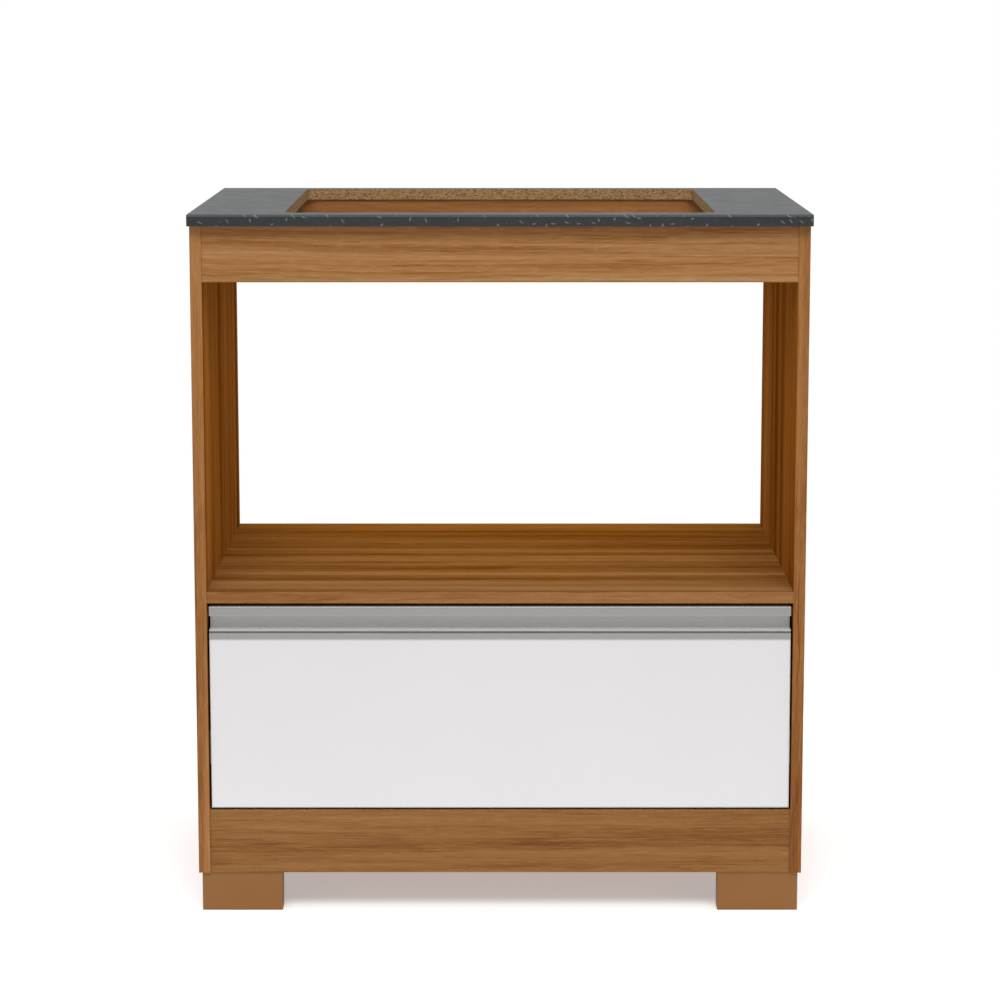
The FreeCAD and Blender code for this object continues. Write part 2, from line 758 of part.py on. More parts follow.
def make_foot(name, side, end, end_face, flange_back):
    """A moulded corner foot, hollow and ribbed below, with a flange inside the plinth and the side.

    side is -1 or 1 along X and end is -1 or 1 along Y; end_face is the cabinet's face at that end,
    and flange_back is how far the flange's outer face lies behind the foot's end face.
    """
    corner_x = (side_out - s.foot_side_inset) * side
    corner_y = end_face - s.foot_end_inset * end

    def inward(pairs):
        return [(corner_x - a * side, corner_y - b * end) for a, b in pairs]

    def ell(a, b, width):
        """An L whose outer corner is a and b in from the foot's own."""
        reach = s.foot_length
        return inward([(a, b), (reach, b), (reach, b + width), (a + width, b + width),
                       (a + width, reach), (a, reach)])

    body = new_body(name + "_body")
    outline = polygon(sketch_on(body, "XY_Plane", 0), ell(as_size(0), as_size(0), s.foot_arm))
    shell = feature(body, "Pad", outline, s.foot_height)
    rounded(body, shell, s.foot_corner, lambda middle, along: abs(along.z) > 0.9)

    inside = (s.foot_wall, s.foot_arm - s.foot_wall)
    cell_room = (s.foot_length - s.foot_wall - s.foot_arm + s.foot_rib) / FOOT_CELLS_IN_AN_ARM
    cells = [(inside, inside)]
    for cell in range(FOOT_CELLS_IN_AN_ARM):
        start = s.foot_arm + cell_room * cell
        span = (start, start + cell_room - s.foot_rib)
        cells.append((span, inside))
        cells.append((inside, span))
    below = sketch_on(body, "XY_Plane", 0)
    for a, b in cells:
        polygon(below, inward([(a[0], b[0]), (a[1], b[0]), (a[1], b[1]), (a[0], b[1])]))
    feature(body, "Pocket", below, s.foot_height - s.foot_wall, True)

    flange_in = s.board - s.foot_side_inset
    flange = polygon(sketch_on(body, "XY_Plane", s.foot_height), ell(flange_in, flange_back, s.foot_flange))
    feature(body, "Pad", flange, s.foot_flange_height)
    blanks[name] = body

    screw_z = s.foot_height + s.foot_flange_height / 2
    wall_x = corner_x - (flange_in + s.foot_flange) * side
    wall_y = corner_y - (flange_back + s.foot_flange) * end
    panel = f"side_panel_{SIDE_NAMES[side]}"
    plinth = "plinth_front" if end < 0 else "plinth_back"
    for step in (0, 1):
        along = s.foot_screw_first + s.foot_screw_pitch * step
        drive_screw("foot_screws", (wall_x, corner_y - along * end, screw_z), (side, 0, 0), [name, panel])
        drive_screw("foot_screws", (corner_x - along * side, wall_y, screw_z), (0, end, 0), [name, plinth])


# Drawer

def make_drawer():
    """Blanks of the drawer's boards, with the grooves for its bottom and their edge bands."""
    band = s.edge_band
    strips = groups["edge_bands_drawer"]
    face = (drawer_face, drawer_face_back)
    core_x = (band - front_half_width, front_half_width - band)
    core_z = (front_bottom + band, front_top)
    blanks["drawer_front"] = block("drawer_front", core_x, face, core_z)
    strips.append(block("band", (-front_half_width, core_x[0]), face, core_z))
    strips.append(block("band", (core_x[1], front_half_width), face, core_z))
    strips.append(block("band", (-front_half_width, front_half_width), face, (front_bottom, core_z[0])))

    length = (drawer_face_back, drawer_back_end)
    for side, name in SIDE_NAMES.items():
        x = (drawer_in, drawer_out) if side == RIGHT else (-drawer_out, -drawer_in)
        blanks[f"drawer_side_{name}"] = block("drawer_side", x, length, (box_bottom, box_top - band))
        strips.append(block("band", x, length, (box_top - band, box_top)))
    back_y = (drawer_back_end - s.board, drawer_back_end)
    inner = (-drawer_in, drawer_in)
    blanks["drawer_back"] = block("drawer_back", inner, back_y, (drawer_bottom_top, box_top - band))
    strips.append(block("band", inner, back_y, (box_top - band, box_top)))

    reach = drawer_in + s.groove_depth - s.groove_play
    start = drawer_face_back - s.groove_depth + s.groove_play
    blanks["drawer_bottom"] = block("drawer_bottom", (-reach, reach), (start, drawer_back_end),
                                    (drawer_bottom_low, drawer_bottom_top))
    groove_z = (drawer_bottom_low - s.fit_gap, drawer_bottom_top + s.fit_gap)
    groove_x = (-drawer_in - s.groove_depth, drawer_in + s.groove_depth)
    groove_y = (drawer_face_back - s.groove_depth, drawer_back_end)
    groove = block("groove", groove_x, groove_y, groove_z)
    for board in ("drawer_front", "drawer_side_left", "drawer_side_right"):
        holes[board].append(groove)


def join_drawer():
    """Cams and dowels at the front, countersunk screws at the back, nails under the back board."""
    for side, name in SIDE_NAMES.items():
        board = f"drawer_side_{name}"
        x = (drawer_out - s.board / 2) * side
        for level in (box_bottom + s.drawer_cam_inset, box_top - s.drawer_cam_inset):
            joint = (x, drawer_face_back, level)
            fit_cam("drawer_", joint, FORWARD, (-side, 0, 0), "drawer_front", board, True)
        joint = (x, drawer_face_back, (box_bottom + box_top) / 2)
        fit_dowel("drawer_dowels", joint, FORWARD, "drawer_front", board)
        for level in (box_bottom + s.back_screw_inset, box_top - s.back_screw_inset):
            spot = (drawer_out * side, drawer_back_end - s.board / 2, level)
            drive_flat_screw("drawer_back_screws", spot, (-side, 0, 0), [board, "drawer_back"])
    for x in spread(-drawer_in, drawer_in, NAILS_IN_A_BOARD):
        spot = (x, drawer_back_end - s.board / 2, drawer_bottom_low)
        drive_nail("drawer_bottom_nails", spot, UP, ["drawer_bottom", "drawer_back"])


def make_handle():
    """The handle profile: upper lip, finger channel, shadow groove, lower lip and rear flange."""
    wall = s.handle_wall
    deep = s.board + wall
    neck = s.handle_groove_depth + wall
    neck_bottom = handle_groove_bottom + wall
    flange_end = s.handle_height + s.handle_flange
    # Each corner is its depth behind the lips' face and its drop below the top.
    section = [
        (0, 0), (0, s.handle_lip), (wall, s.handle_lip), (wall, wall), (deep, wall),
        (deep, s.handle_floor), (0, s.handle_floor), (0, handle_groove_top),
        (s.handle_groove_depth, handle_groove_top), (s.handle_groove_depth, handle_groove_bottom),
        (0, handle_groove_bottom), (0, s.handle_height), (wall, s.handle_height), (wall, neck_bottom),
        (neck, neck_bottom), (neck, handle_groove_top), (deep, handle_groove_top), (deep, flange_end),
        (deep + wall, flange_end), (deep + wall, 0)]
    corners = [(handle_face + depth, handle_top - drop) for depth, drop in section]
    body = extrusion("handle_body", "YZ_Plane", -front_half_width, corners, front_half_width * 2)
    face = handle_face.number
    rounded(body, body.Tip, s.handle_edge,
            lambda middle, along: abs(along.x) > 0.9 and same(middle.y, face))
    blanks["drawer_handle"] = body
    for x in spread(-front_half_width, front_half_width, HANDLE_SCREWS):
        spot = (x, drawer_face_back + wall, handle_top - flange_end + s.handle_screw_edge)
        drive_screw("handle_screws", spot, FORWARD, ["drawer_handle", "drawer_front"])


# Slides

def channel(back_plane, tip, half, sheet, lip_width=None):
    """Corners of a C section: web at back_plane, flanges to tip, lips turned in if it has them."""
    inner = half - sheet
    if lip_width is None:
        opening_low = [(tip, -half), (tip, -inner)]
    else:
        drop = inner - s.channel_lip
        edge = tip - lip_width
        opening_low = [(tip, -half), (tip, -drop), (edge, -drop), (edge, -inner)]
    web_face = back_plane + sheet if tip.number > back_plane.number else back_plane - sheet
    opening_high = [(u, -v) for u, v in reversed(opening_low)]
    return ([(back_plane, -half)] + opening_low + [(web_face, -inner), (web_face, inner)]
            + opening_high + [(back_plane, half)])


def slide_member(side, corners, length):
    """A member that starts at the slides' front; corners are offsets from the panel and the axis."""
    placed = [((side_in - offset) * side, slide_axis + level) for offset, level in corners]
    return extrusion("slide_member", "XZ_Plane", slide_front + length, placed, length)


def make_cage(side, key, web, tip, ball, radius, level):
    """A ball cage, with its web and tip at these offsets from the panel, and its two rows of balls."""
    name = SIDE_NAMES[side]
    start = slide_front + (member_length - s.cage_length) / 2
    corners = channel(web, tip, level + s.cage_sheet / 2, s.cage_sheet)
    placed = [((side_in - u) * side, slide_axis + v) for u, v in corners]
    body = extrusion("cage", "XZ_Plane", start + s.cage_length, placed, s.cage_length)
    pockets = sketch_on(body, "XY_Plane", slide_axis + outer_half)
    x = (side_in - (web + s.cage_sheet + tip) / 2) * side
    for place in range(BALLS_IN_A_ROW):
        y = start + s.cage_margin + s.ball_pitch * place
        circle(pockets, x, y, radius + s.ball_gap)
        for z in (slide_axis - level, slide_axis + level):
            groups[f"balls_{key}_{name}"].append(copy_of(ball, (x, y, z)))
    feature(body, "Pocket", pockets, s.slide_height)
    blanks[f"ball_cage_{key}_{name}"] = body


def make_lever(side):
    """The release lever inside the inner member, on a rivet through its hub."""
    name = SIDE_NAMES[side]
    pivot = slide_front + s.slide_screw_middle + s.lever_screw_gap + s.lever_length
    # The lever lies between the rivet's head and the inner member's web.
    far = inner_tip + s.rivet_head_height + s.slide_gap
    thickness = inner_depth - s.rivet_head_height - s.slide_gap - s.lever_web_gap
    level = side_in - far - thickness if side == RIGHT else far - side_in
    half = s.lever_height / 2
    tip = pivot - s.lever_length
    tip_half = s.lever_tip_height / 2
    corners = [(tip, slide_axis - tip_half), (pivot, slide_axis - half), (pivot + s.lever_hub, slide_axis),
               (pivot, slide_axis + half), (tip, slide_axis + tip_half)]
    body = extrusion("lever", "YZ_Plane", level, corners, thickness)
    eye = circle(sketch_on(body, "YZ_Plane", level), pivot, slide_axis, s.rivet_radius + s.ball_gap)
    feature(body, "Pocket", eye, thickness, True)
    blanks[f"slide_lever_{name}"] = body
    head = ((side_in - inner_tip) * side, pivot, slide_axis)
    groups["lever_rivets"].append(copy_of(rivet, head, (-side, 0, 0)))


def make_slide(side):
    name = SIDE_NAMES[side]
    zero = as_size(0)
    outer = channel(zero, outer_lip + s.outer_lip_width, outer_half, s.slide_sheet, s.outer_lip_width)
    middle = channel(middle_web, middle_tip, middle_half, s.slide_sheet, s.middle_lip_width)
    inner = channel(s.slide_thickness, inner_tip, inner_half, s.slide_sheet)
    blanks[f"slide_outer_{name}"] = slide_member(side, outer, slide_length)
    blanks[f"slide_middle_{name}"] = slide_member(side, middle, member_length)
    blanks[f"slide_inner_{name}"] = slide_member(side, inner, member_length)

    make_cage(side, "outer", middle_web - s.slide_gap - s.cage_sheet, outer_lip - s.slide_gap,
              outer_ball, s.outer_ball, outer_ball_level)
    make_cage(side, "inner", middle_web_face + s.slide_gap, middle_tip - s.middle_lip_width - s.ball_gap,
              inner_ball, s.inner_ball, inner_ball_level)
    make_lever(side)

    web_x = (side_in - s.slide_sheet) * side
    for along in (s.slide_screw_front, s.slide_screw_middle, member_length - s.slide_screw_back):
        drive_screw("slide_screws_cabinet", (web_x, slide_front + along, slide_axis), (side, 0, 0),
                    [f"slide_outer_{name}", f"side_panel_{name}"])
        spot = ((drawer_out + s.slide_sheet) * side, slide_front + along, slide_axis)
        drive_screw("slide_screws_drawer", spot, (-side, 0, 0),
                    [f"slide_inner_{name}", f"drawer_side_{name}"])

    end = slide_front + slide_length
    far_x = (side_in - s.slide_sheet - s.buffer_thickness) * side
    x = (far_x, web_x) if side == RIGHT else (web_x, far_x)
    half = s.buffer_height / 2
    level = (slide_axis - half, slide_axis + half)
    groups["slide_buffers"].append(block("buffer", x, (end - s.buffer_length, end), level))


make_carcass()
join_carcass()
nail_back_panel()
make_worktop()
fasten_worktop()
for foot_side, foot_side_name in SIDE_NAMES.items():
    make_foot(f"foot_front_{foot_side_name}", foot_side, -1, front,
              s.plinth_setback + s.board - s.foot_end_inset)
    make_foot(f"foot_rear_{foot_side_name}", foot_side, 1, back, s.board - s.foot_end_inset)
make_drawer()
join_drawer()
make_handle()
make_slide(LEFT)
make_slide(RIGHT)


# Drill the blanks, gather the groups, check everything and write one file per node

def gathered(name, pieces):
    group = doc.addObject("Part::Compound", name)
    group.Links = pieces
    return group


def drilled(name, blank, tools):
    """The blank with its holes; tools that run into each other are made one first."""
    cut = doc.addObject("Part::Cut", name)
    cut.Base = blank
    if len(tools) == 1:
        cut.Tool = tools[0]
    else:
        drill = doc.addObject("Part::MultiFuse", name + "_drill")
        drill.Shapes = tools
        cut.Tool = drill
    return cut


def finished_nodes():
    made = {}
    for name, pieces in groups.items():
        blanks[name] = gathered(name + "_group", pieces)
    for name, blank in blanks.items():
        blank.Label = name + "_blank" if holes[name] else name
        made[name] = drilled(name + "_cut", blank, holes[name]) if holes[name] else blank
        made[name].Label = name
    return made


nodes = finished_nodes()
doc.recompute()

for thing in doc.Objects:
    if "Invalid" in thing.State or "Error" in thing.State:
        raise RuntimeError(f"{thing.Label} failed: {thing.State}")
    if thing.TypeId == "PartDesign::Pocket" and thing.Shape.Volume >= thing.BaseFeature.Shape.Volume:
        raise RuntimeError(f"{thing.Label} cuts nothing")

os.makedirs("parts", exist_ok=True)
for name, thing in sorted(nodes.items()):
    shape = thing.Shape
    if shape.isNull() or not shape.isValid():
        raise RuntimeError(f"{name} has no valid shape")
    shape.exportStep(f"parts/{name}.step")
    print(f"{name}: {len(shape.Solids)} solids, {shape.Volume / 1000:.1f} cm3")
print(f"{len(nodes)} nodes")
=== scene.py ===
# %% [markdown]
# # A cooktop base cabinet
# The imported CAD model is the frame: every board, screw and slide already stands where it belongs.
# This lesson gives each of them the surface, the soft edges and the small detail of the real thing.
# A piece that replaces a CAD node keeps the node's place, so nothing has to be fitted by eye. Sizes
# are in metres, so MM turns millimetres into them, and what is nearer than TOUCH counts as touching.

# %% Load the frame
import json
import math

import bmesh
import bpy
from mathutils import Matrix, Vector

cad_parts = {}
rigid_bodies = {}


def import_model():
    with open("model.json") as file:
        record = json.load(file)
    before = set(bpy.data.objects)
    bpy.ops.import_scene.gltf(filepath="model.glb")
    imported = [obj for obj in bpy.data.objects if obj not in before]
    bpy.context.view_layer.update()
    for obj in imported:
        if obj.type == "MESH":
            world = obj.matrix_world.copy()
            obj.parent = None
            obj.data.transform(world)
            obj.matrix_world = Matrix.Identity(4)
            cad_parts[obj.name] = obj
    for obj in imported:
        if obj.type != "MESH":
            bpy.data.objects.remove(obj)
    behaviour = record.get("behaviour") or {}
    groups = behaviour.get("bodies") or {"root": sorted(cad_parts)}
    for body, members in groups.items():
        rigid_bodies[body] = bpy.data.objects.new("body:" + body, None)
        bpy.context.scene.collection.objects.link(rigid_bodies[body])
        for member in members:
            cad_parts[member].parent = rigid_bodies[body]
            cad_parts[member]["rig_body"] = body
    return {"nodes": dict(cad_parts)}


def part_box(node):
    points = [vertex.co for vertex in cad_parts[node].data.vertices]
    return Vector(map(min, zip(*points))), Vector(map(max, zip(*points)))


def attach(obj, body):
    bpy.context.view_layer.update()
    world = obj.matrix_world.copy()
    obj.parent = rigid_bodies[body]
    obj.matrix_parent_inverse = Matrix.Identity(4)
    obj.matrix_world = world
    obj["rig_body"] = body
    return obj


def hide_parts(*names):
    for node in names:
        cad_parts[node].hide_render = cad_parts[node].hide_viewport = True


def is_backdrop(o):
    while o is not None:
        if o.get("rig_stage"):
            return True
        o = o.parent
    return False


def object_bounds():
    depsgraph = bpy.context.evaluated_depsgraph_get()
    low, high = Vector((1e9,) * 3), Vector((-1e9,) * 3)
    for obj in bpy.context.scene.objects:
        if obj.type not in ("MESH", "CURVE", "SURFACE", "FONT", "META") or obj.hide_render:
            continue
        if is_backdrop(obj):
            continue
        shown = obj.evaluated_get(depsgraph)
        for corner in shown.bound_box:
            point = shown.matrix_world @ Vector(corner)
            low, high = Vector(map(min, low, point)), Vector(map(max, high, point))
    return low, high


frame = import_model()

cad_low, cad_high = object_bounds()
MM = 0.001
TOUCH = 0.02 * MM
scene = bpy.context.scene


def stand(name, data):
    """A new object in the scene."""
    thing = bpy.data.objects.new(name, data)
    scene.collection.objects.link(thing)
    return thing


# %% [markdown]
# ## Camera
# The picture was taken from straight in front, a little above the worktop, with a long lens. The
# distance, height and lens come from matching the corners of the worktop, the shelf and the feet. A
# level camera with a large lens shift would match closer, but the shift stays in every other view and
# would push the cabinet out of it, so the camera is tilted and the shift is small.

# %% Camera
EYE = (0.0, -4.071, 1.200)
TILT = 8.67
LENS = 107.5
SHIFT = -0.05

camera = stand("camera", bpy.data.cameras.new("camera"))
camera.location = EYE
camera.rotation_euler = (math.radians(90 - TILT), 0, 0)
camera.data.lens = LENS
camera.data.sensor_width = 36
camera.data.shift_y = SHIFT
camera.data.clip_start, camera.data.clip_end = 0.1, 1000
scene.camera = camera
print("camera", EYE, "tilt", TILT, "lens", LENS)

# %% [markdown]
# ## A bench for materials
# Every finish here is a small net of nodes. Written out in full, each node takes five lines, so this
# bench adds one in a single call: it sets the node's options, feeds its inputs from numbers or from
# other nodes, and hands back the output to pass on.

# %% Material bench
def paint(red, green, blue):
    """A colour as a screen shows it, 0 to 255, in the even light values that shaders count in."""
    def even(level):
        level /= 255
        return level / 12.92 if level <= 0.04045 else ((level + 0.055) / 1.055) ** 2.4
    return (even(red), even(green), even(blue), 1.0)


def shaded(shade, by):
    """The same colour, darker or lighter by a factor."""
    return (*(min(1.0, by * n) for n in shade[:3]), 1.0)


def add_node(tree, kind, feeds, out=0, **options):
    """One node with its options set and its inputs fed; gives back one output."""
    node = tree.nodes.new(kind)
    for name, value in options.items():
        setattr(node, name, value)
    for socket, value in feeds.items():
        if isinstance(value, bpy.types.NodeSocket):
            tree.links.new(value, node.inputs[socket])
        else:
            node.inputs[socket].default_value = value
    return node.outputs[out] if node.outputs else node


class Bench:
    """Builds one material's net, or a group of nodes that several materials share."""

    def __init__(self, tree):
        self.tree = tree
        tree.nodes.clear()

    def add(self, kind, feeds, out=0, **options):
        return add_node(self.tree, "ShaderNode" + kind, feeds, out, **options)

    def place(self, offset=(0, 0, 0), turn=(0, 0, 0)):
        """Object coordinates in metres, turned and then moved."""
        spot = self.add("TexCoord", {}, "Object")
        return self.add("Mapping", {"Vector": spot, "Location": offset, "Rotation": turn})

    def vector(self, operation, first, second=(0, 0, 0), out=0):
        return self.add("VectorMath", {0: first, 1: second}, out, operation=operation)

    def noise(self, place, scale, detail=2.0, rough=0.5, low=0.3, high=0.7):
        """Noise whose lumps are 1/scale metres across, spread out to run from 0 to 1."""
        spot = self.vector("MULTIPLY", place, scale if isinstance(scale, tuple) else (scale,) * 3)
        raw = self.add("TexNoise", {"Vector": spot, "Scale": 1.0, "Detail": detail, "Roughness": rough})
        return self.add("MapRange", {0: raw, 1: low, 2: high})

    def sum(self, operation, first, second=0.0, third=0.0):
        return self.add("Math", {0: first, 1: second, 2: third}, operation=operation)

    def spread(self, amount, low, high):
        """Turns 0 to 1 into low to high."""
        return self.add("MapRange", {0: amount, 3: low, 4: high})

    def blend(self, amount, first, second, mode="MIX"):
        return self.add("Mix", {0: amount, 6: first, 7: second}, 2, data_type="RGBA", blend_type=mode)

    def over(self, colour, pattern, share, shade):
        """A colour with up to this share of a shade laid over it where the pattern is."""
        return self.blend(self.sum("MULTIPLY", pattern, share), colour, shade)

    def steps(self, amount, *stops):
        """A colour ramp with (position, colour) stops."""
        output = self.add("ValToRGB", {0: amount})
        ramp = output.node.color_ramp
        while len(ramp.elements) < len(stops):
            ramp.elements.new(1.0)
        for element, (position, colour) in zip(ramp.elements, stops):
            element.position, element.color = position, colour
        return output

    def bump(self, height, depth, strength=1.0):
        return self.add("Bump", {"Height": height, "Distance": depth, "Strength": strength})

    def edge_patches(self, place, lumps=60):
        """1 on patches of the eased edges, 0 elsewhere: rubbed wear in most finishes, wear and painted edge
        shade in the wood.
        """
        edge = self.add("Attribute", {}, "Fac", attribute_name="edge")
        return self.sum("MULTIPLY", edge, self.noise(place, lumps, 3.0))

    def finish(self, **feeds):
        """The shader and the end of the net; an underscore in a name stands for a space."""
        words = {name.replace("_", " "): value for name, value in feeds.items()}
        self.add("OutputMaterial", {"Surface": self.add("BsdfPrincipled", words)})


def new_bench(name):
    """A new material and the bench to build it on."""
    material = bpy.data.materials.new(name)
    material.use_nodes = True
    return material, Bench(material.node_tree)


print("a mid brown in light values", [round(n, 3) for n in paint(157, 110, 68)])

# %% [markdown]
# ## Printed wood
# The boards are chipboard under a printed paper sealed with melamine. The print shows a warm brown
# wood with long soft bands, fine streaks, short dashes, and growth rings in places. A picture of wood
# would be quick, but it repeats and blurs when seen close, so one pattern makes it here: a log whose
# pith runs along X. The distance from the pith gives the rings, and noise stretched along the log
# gives each finer layer. Two noises bend the log first, so no line runs dead straight. In a print the
# dark lines are as brown as the light ones, only deeper, so all layers add up to one tone and a single
# ramp colours it.

# %% Wood pattern
PITH = (0.0, -0.035, -0.11)
RING = 0.011
WOOD_TONES = ((0.0, paint(104, 54, 8)), (0.25, paint(124, 72, 20)), (0.5, paint(146, 96, 46)),
              (0.75, paint(160, 110, 61)), (1.0, paint(174, 125, 76)))
PORE_BROWN = paint(88, 50, 18)


def bent(bench, log, scale, by):
    """The log's place, swayed across the grain by up to half of by."""
    spot = bench.vector("MULTIPLY", log, scale)
    sway = bench.add("TexNoise", {"Vector": spot, "Scale": 1.0}, "Color")
    sway = bench.vector("MULTIPLY", bench.vector("SUBTRACT", sway, (0.5, 0.5, 0.5)), (0, by, by))
    return bench.vector("ADD", log, sway)


def late_wood(bench, log):
    """Dark outer parts of the rings, where the print has them at all."""
    from_pith = bench.vector("MULTIPLY", bench.vector("SUBTRACT", log, PITH), (0.05, 1, 1))
    radius = bench.vector("LENGTH", from_pith, out="Value")
    rings = bench.sum("MULTIPLY_ADD", radius, 1 / RING, bench.noise(log, (2.5, 45, 45)))
    greys = [(0.0, 0.1), (0.55, 0.25), (0.88, 1.0), (1.0, 0.1)]
    greys = [(spot, (grey, grey, grey, 1)) for spot, grey in greys]
    rings = bench.steps(bench.sum("FRACT", rings), *greys)
    return bench.sum("MULTIPLY", rings, bench.noise(log, (1.1, 14, 14), 1.0))


def make_wood_pattern():
    tree = bpy.data.node_groups.new("wood_pattern", "ShaderNodeTree")
    tree.interface.new_socket("Place", in_out="INPUT", socket_type="NodeSocketVector")
    tree.interface.new_socket("Broad", in_out="INPUT", socket_type="NodeSocketFloat")
    for name, kind in (("Colour", "Color"), ("Height", "Float"), ("Roughness", "Float")):
        tree.interface.new_socket(name, in_out="OUTPUT", socket_type="NodeSocket" + kind)
    bench = Bench(tree)
    given = tree.nodes.new("NodeGroupInput").outputs
    log = bent(bench, bent(bench, given["Place"], (0.9, 6, 6), 0.030), (14, 40, 40), 0.0024)

    bands = bench.noise(log, (0.5, 20, 20), 1.0)
    fibres = bench.noise(log, (30, 1500, 1500), 2.0, 0.6)
    pores = bench.noise(log, (75, 2200, 2200), 1.0, 0.5, 0.64, 0.72)
    layers = (
        (bench.noise(log, (1.0, 95, 95), 1.0), 0.25),
        (bench.noise(log, (2.6, 360, 360)), 0.15),
        (fibres, 0.08),
        (bench.noise(log, (8, 420, 420), 1.0, 0.5, 0.54, 0.70), -0.19),
        (bench.noise(bench.vector("ADD", log, (3, 3, 3)), (40, 620, 620), 1.0, 0.5, 0.52, 0.66), 0.15),
        (late_wood(bench, log), -0.24))
    tone = bench.sum("MULTIPLY_ADD", bench.sum("SUBTRACT", bands, 0.5), given["Broad"], 0.335)
    for layer, weight in layers:
        tone = bench.sum("MULTIPLY_ADD", layer, weight, tone)
    colour = bench.steps(tone, *WOOD_TONES)
    colour = bench.over(colour, pores, 0.35, PORE_BROWN)

    end = tree.nodes.new("NodeGroupOutput")
    tree.links.new(colour, end.inputs["Colour"])
    tree.links.new(bench.sum("MULTIPLY_ADD", pores, -0.7, fibres), end.inputs["Height"])
    tree.links.new(bench.spread(fibres, 0.58, 0.48), end.inputs["Roughness"])
    return tree


wood_pattern = make_wood_pattern()
print("wood pattern nodes", len(wood_pattern.nodes))

# %% [markdown]
# Each board is cut from another part of that log: the shift moves the pattern and the turn lays its
# grain along the board's length. Wide boards show broad bands and narrow ones hardly any, so each gets
# its own share of them. Patches along the eased edges are darker: partly wear, partly painted shade for
# the dark line that a rounded edge shows. On their faces towards the niche, the sides get a deeper,
# warmer brown than the fronts: painted shade for the dimmer light in the niche. The shelf goes from its
# front tint to a painted shade at its back. The front rail's tint is painted light against the shade
# under the worktop's edge, and the front plinth's tint is painted shade for the dimmer light low down.

# %% Wood for one board
LENGTHWISE = (0, 0, 0)
UPRIGHT = (0, math.radians(90), 0)
# Painted shade: the deeper, warmer brown of the side panels' faces inside the niche.
NICHE_PAINTED_SHADE = (1.14, 0.95, 0.52)


def wood_print(name, turn, shift, broad=0.3, tint=(1, 1, 1), gloss=0.25, painted_back_shade=None):
    """broad is the share of the wide bands; the back tint is a painted shade that takes over towards the
    cabinet's back.
    """
    material, bench = new_bench(name)
    place = bench.place(shift, turn)
    colour = bench.add("Group", {"Place": place, "Broad": broad}, "Colour", node_tree=wood_pattern)
    height, rough = colour.node.outputs["Height"], colour.node.outputs["Roughness"]
    tint = (*tint, 1)
    # Painted shade: the tint turns deeper and warmer towards the back, where less light reaches.
    if painted_back_shade:
        depth = bench.add("SeparateXYZ", {0: bench.place()}, "Y")
        tint = bench.blend(bench.add("MapRange", {0: depth, 1: -0.25, 2: 0.25}), tint, (*painted_back_shade, 1))
    colour = bench.blend(1.0, colour, tint, "MULTIPLY")
    edge_patches = bench.edge_patches(place)
    # Darker patches on the eased edges: partly wear, partly painted shade for the dark line a rounded edge
    # shows.
    colour = bench.over(colour, edge_patches, 0.55, paint(96, 60, 30))
    bench.finish(Base_Color=colour, Roughness=bench.sum("MULTIPLY_ADD", edge_patches, 0.12, rough),
                 Specular_IOR_Level=gloss, Normal=bench.bump(height, 0.00005, 0.6))
    return material


LEFT_CUT, RIGHT_CUT = (0.31, 0.02, 0.33), (2.73, -0.05, -0.41)
board_prints = {
    "side_panel_left": wood_print("wood_side_left", UPRIGHT, LEFT_CUT, 0.5),
    "side_panel_right": wood_print("wood_side_right", UPRIGHT, RIGHT_CUT, 0.5),
    # Painted light: the front rail's tint lifts the print where the worktop's edge shades it.
    "top_rail_front": wood_print("wood_rail_front_painted_light", LENGTHWISE, (0.17, 0.21, -0.83), 0.3,
                                 (1.12, 1.22, 1.5)),
    "top_rail_back": wood_print("wood_rail_back", LENGTHWISE, (3.1, -0.3, -0.90)),
    # Painted shade on the shelf: its front tint, and a deeper, warmer back tint.
    "niche_shelf": wood_print("wood_shelf_painted_shade", LENGTHWISE, (1.37, 0.0, -0.43), 0.6, (0.89, 0.99, 1.2), 0.0,
                              painted_back_shade=(1.12, 1.03, 0.65)),
    "base_panel": wood_print("wood_base", LENGTHWISE, (5.2, 0.04, -0.13), 0.5),
    # Painted shade: the front plinth's tint darkens it for the dimmer light low down.
    "plinth_front": wood_print("wood_plinth_front_painted_shade", LENGTHWISE, (2.11, 0.25, -0.16), 0.3,
                               (0.80, 0.80, 0.70)),
    "plinth_back": wood_print("wood_plinth_back", LENGTHWISE, (4.4, -0.27, -0.10)),
}
# The side panels' faces towards the niche, with the painted shade tint.
painted_shade_prints = {
    "side_panel_left": wood_print("wood_side_left_inside_painted_shade", UPRIGHT, LEFT_CUT, 0.6, NICHE_PAINTED_SHADE, 0.0),
    "side_panel_right": wood_print("wood_side_right_inside_painted_shade", UPRIGHT, RIGHT_CUT, 0.6, NICHE_PAINTED_SHADE, 0.0),
}
band_upright = wood_print("wood_band_upright", UPRIGHT, (7.3, 0.9, 0.5))
band_lengthwise = wood_print("wood_band_lengthwise", LENGTHWISE, (8.6, 0.7, -0.35), 0.3, (0.9, 0.9, 0.9))
print("boards with a print of their own", len(board_prints))

# %% [markdown]
# ## Raw chipboard and hardboard
# Where a board is cut and not banded, its core of pressed wood chips shows: pale flakes of many sizes
# with a few dark ones. Voronoi cells make the flakes, because each cell has one even colour. Hardboard
# is finer, like brown felt pressed flat, and its back carries the weave of the screen it dried on.

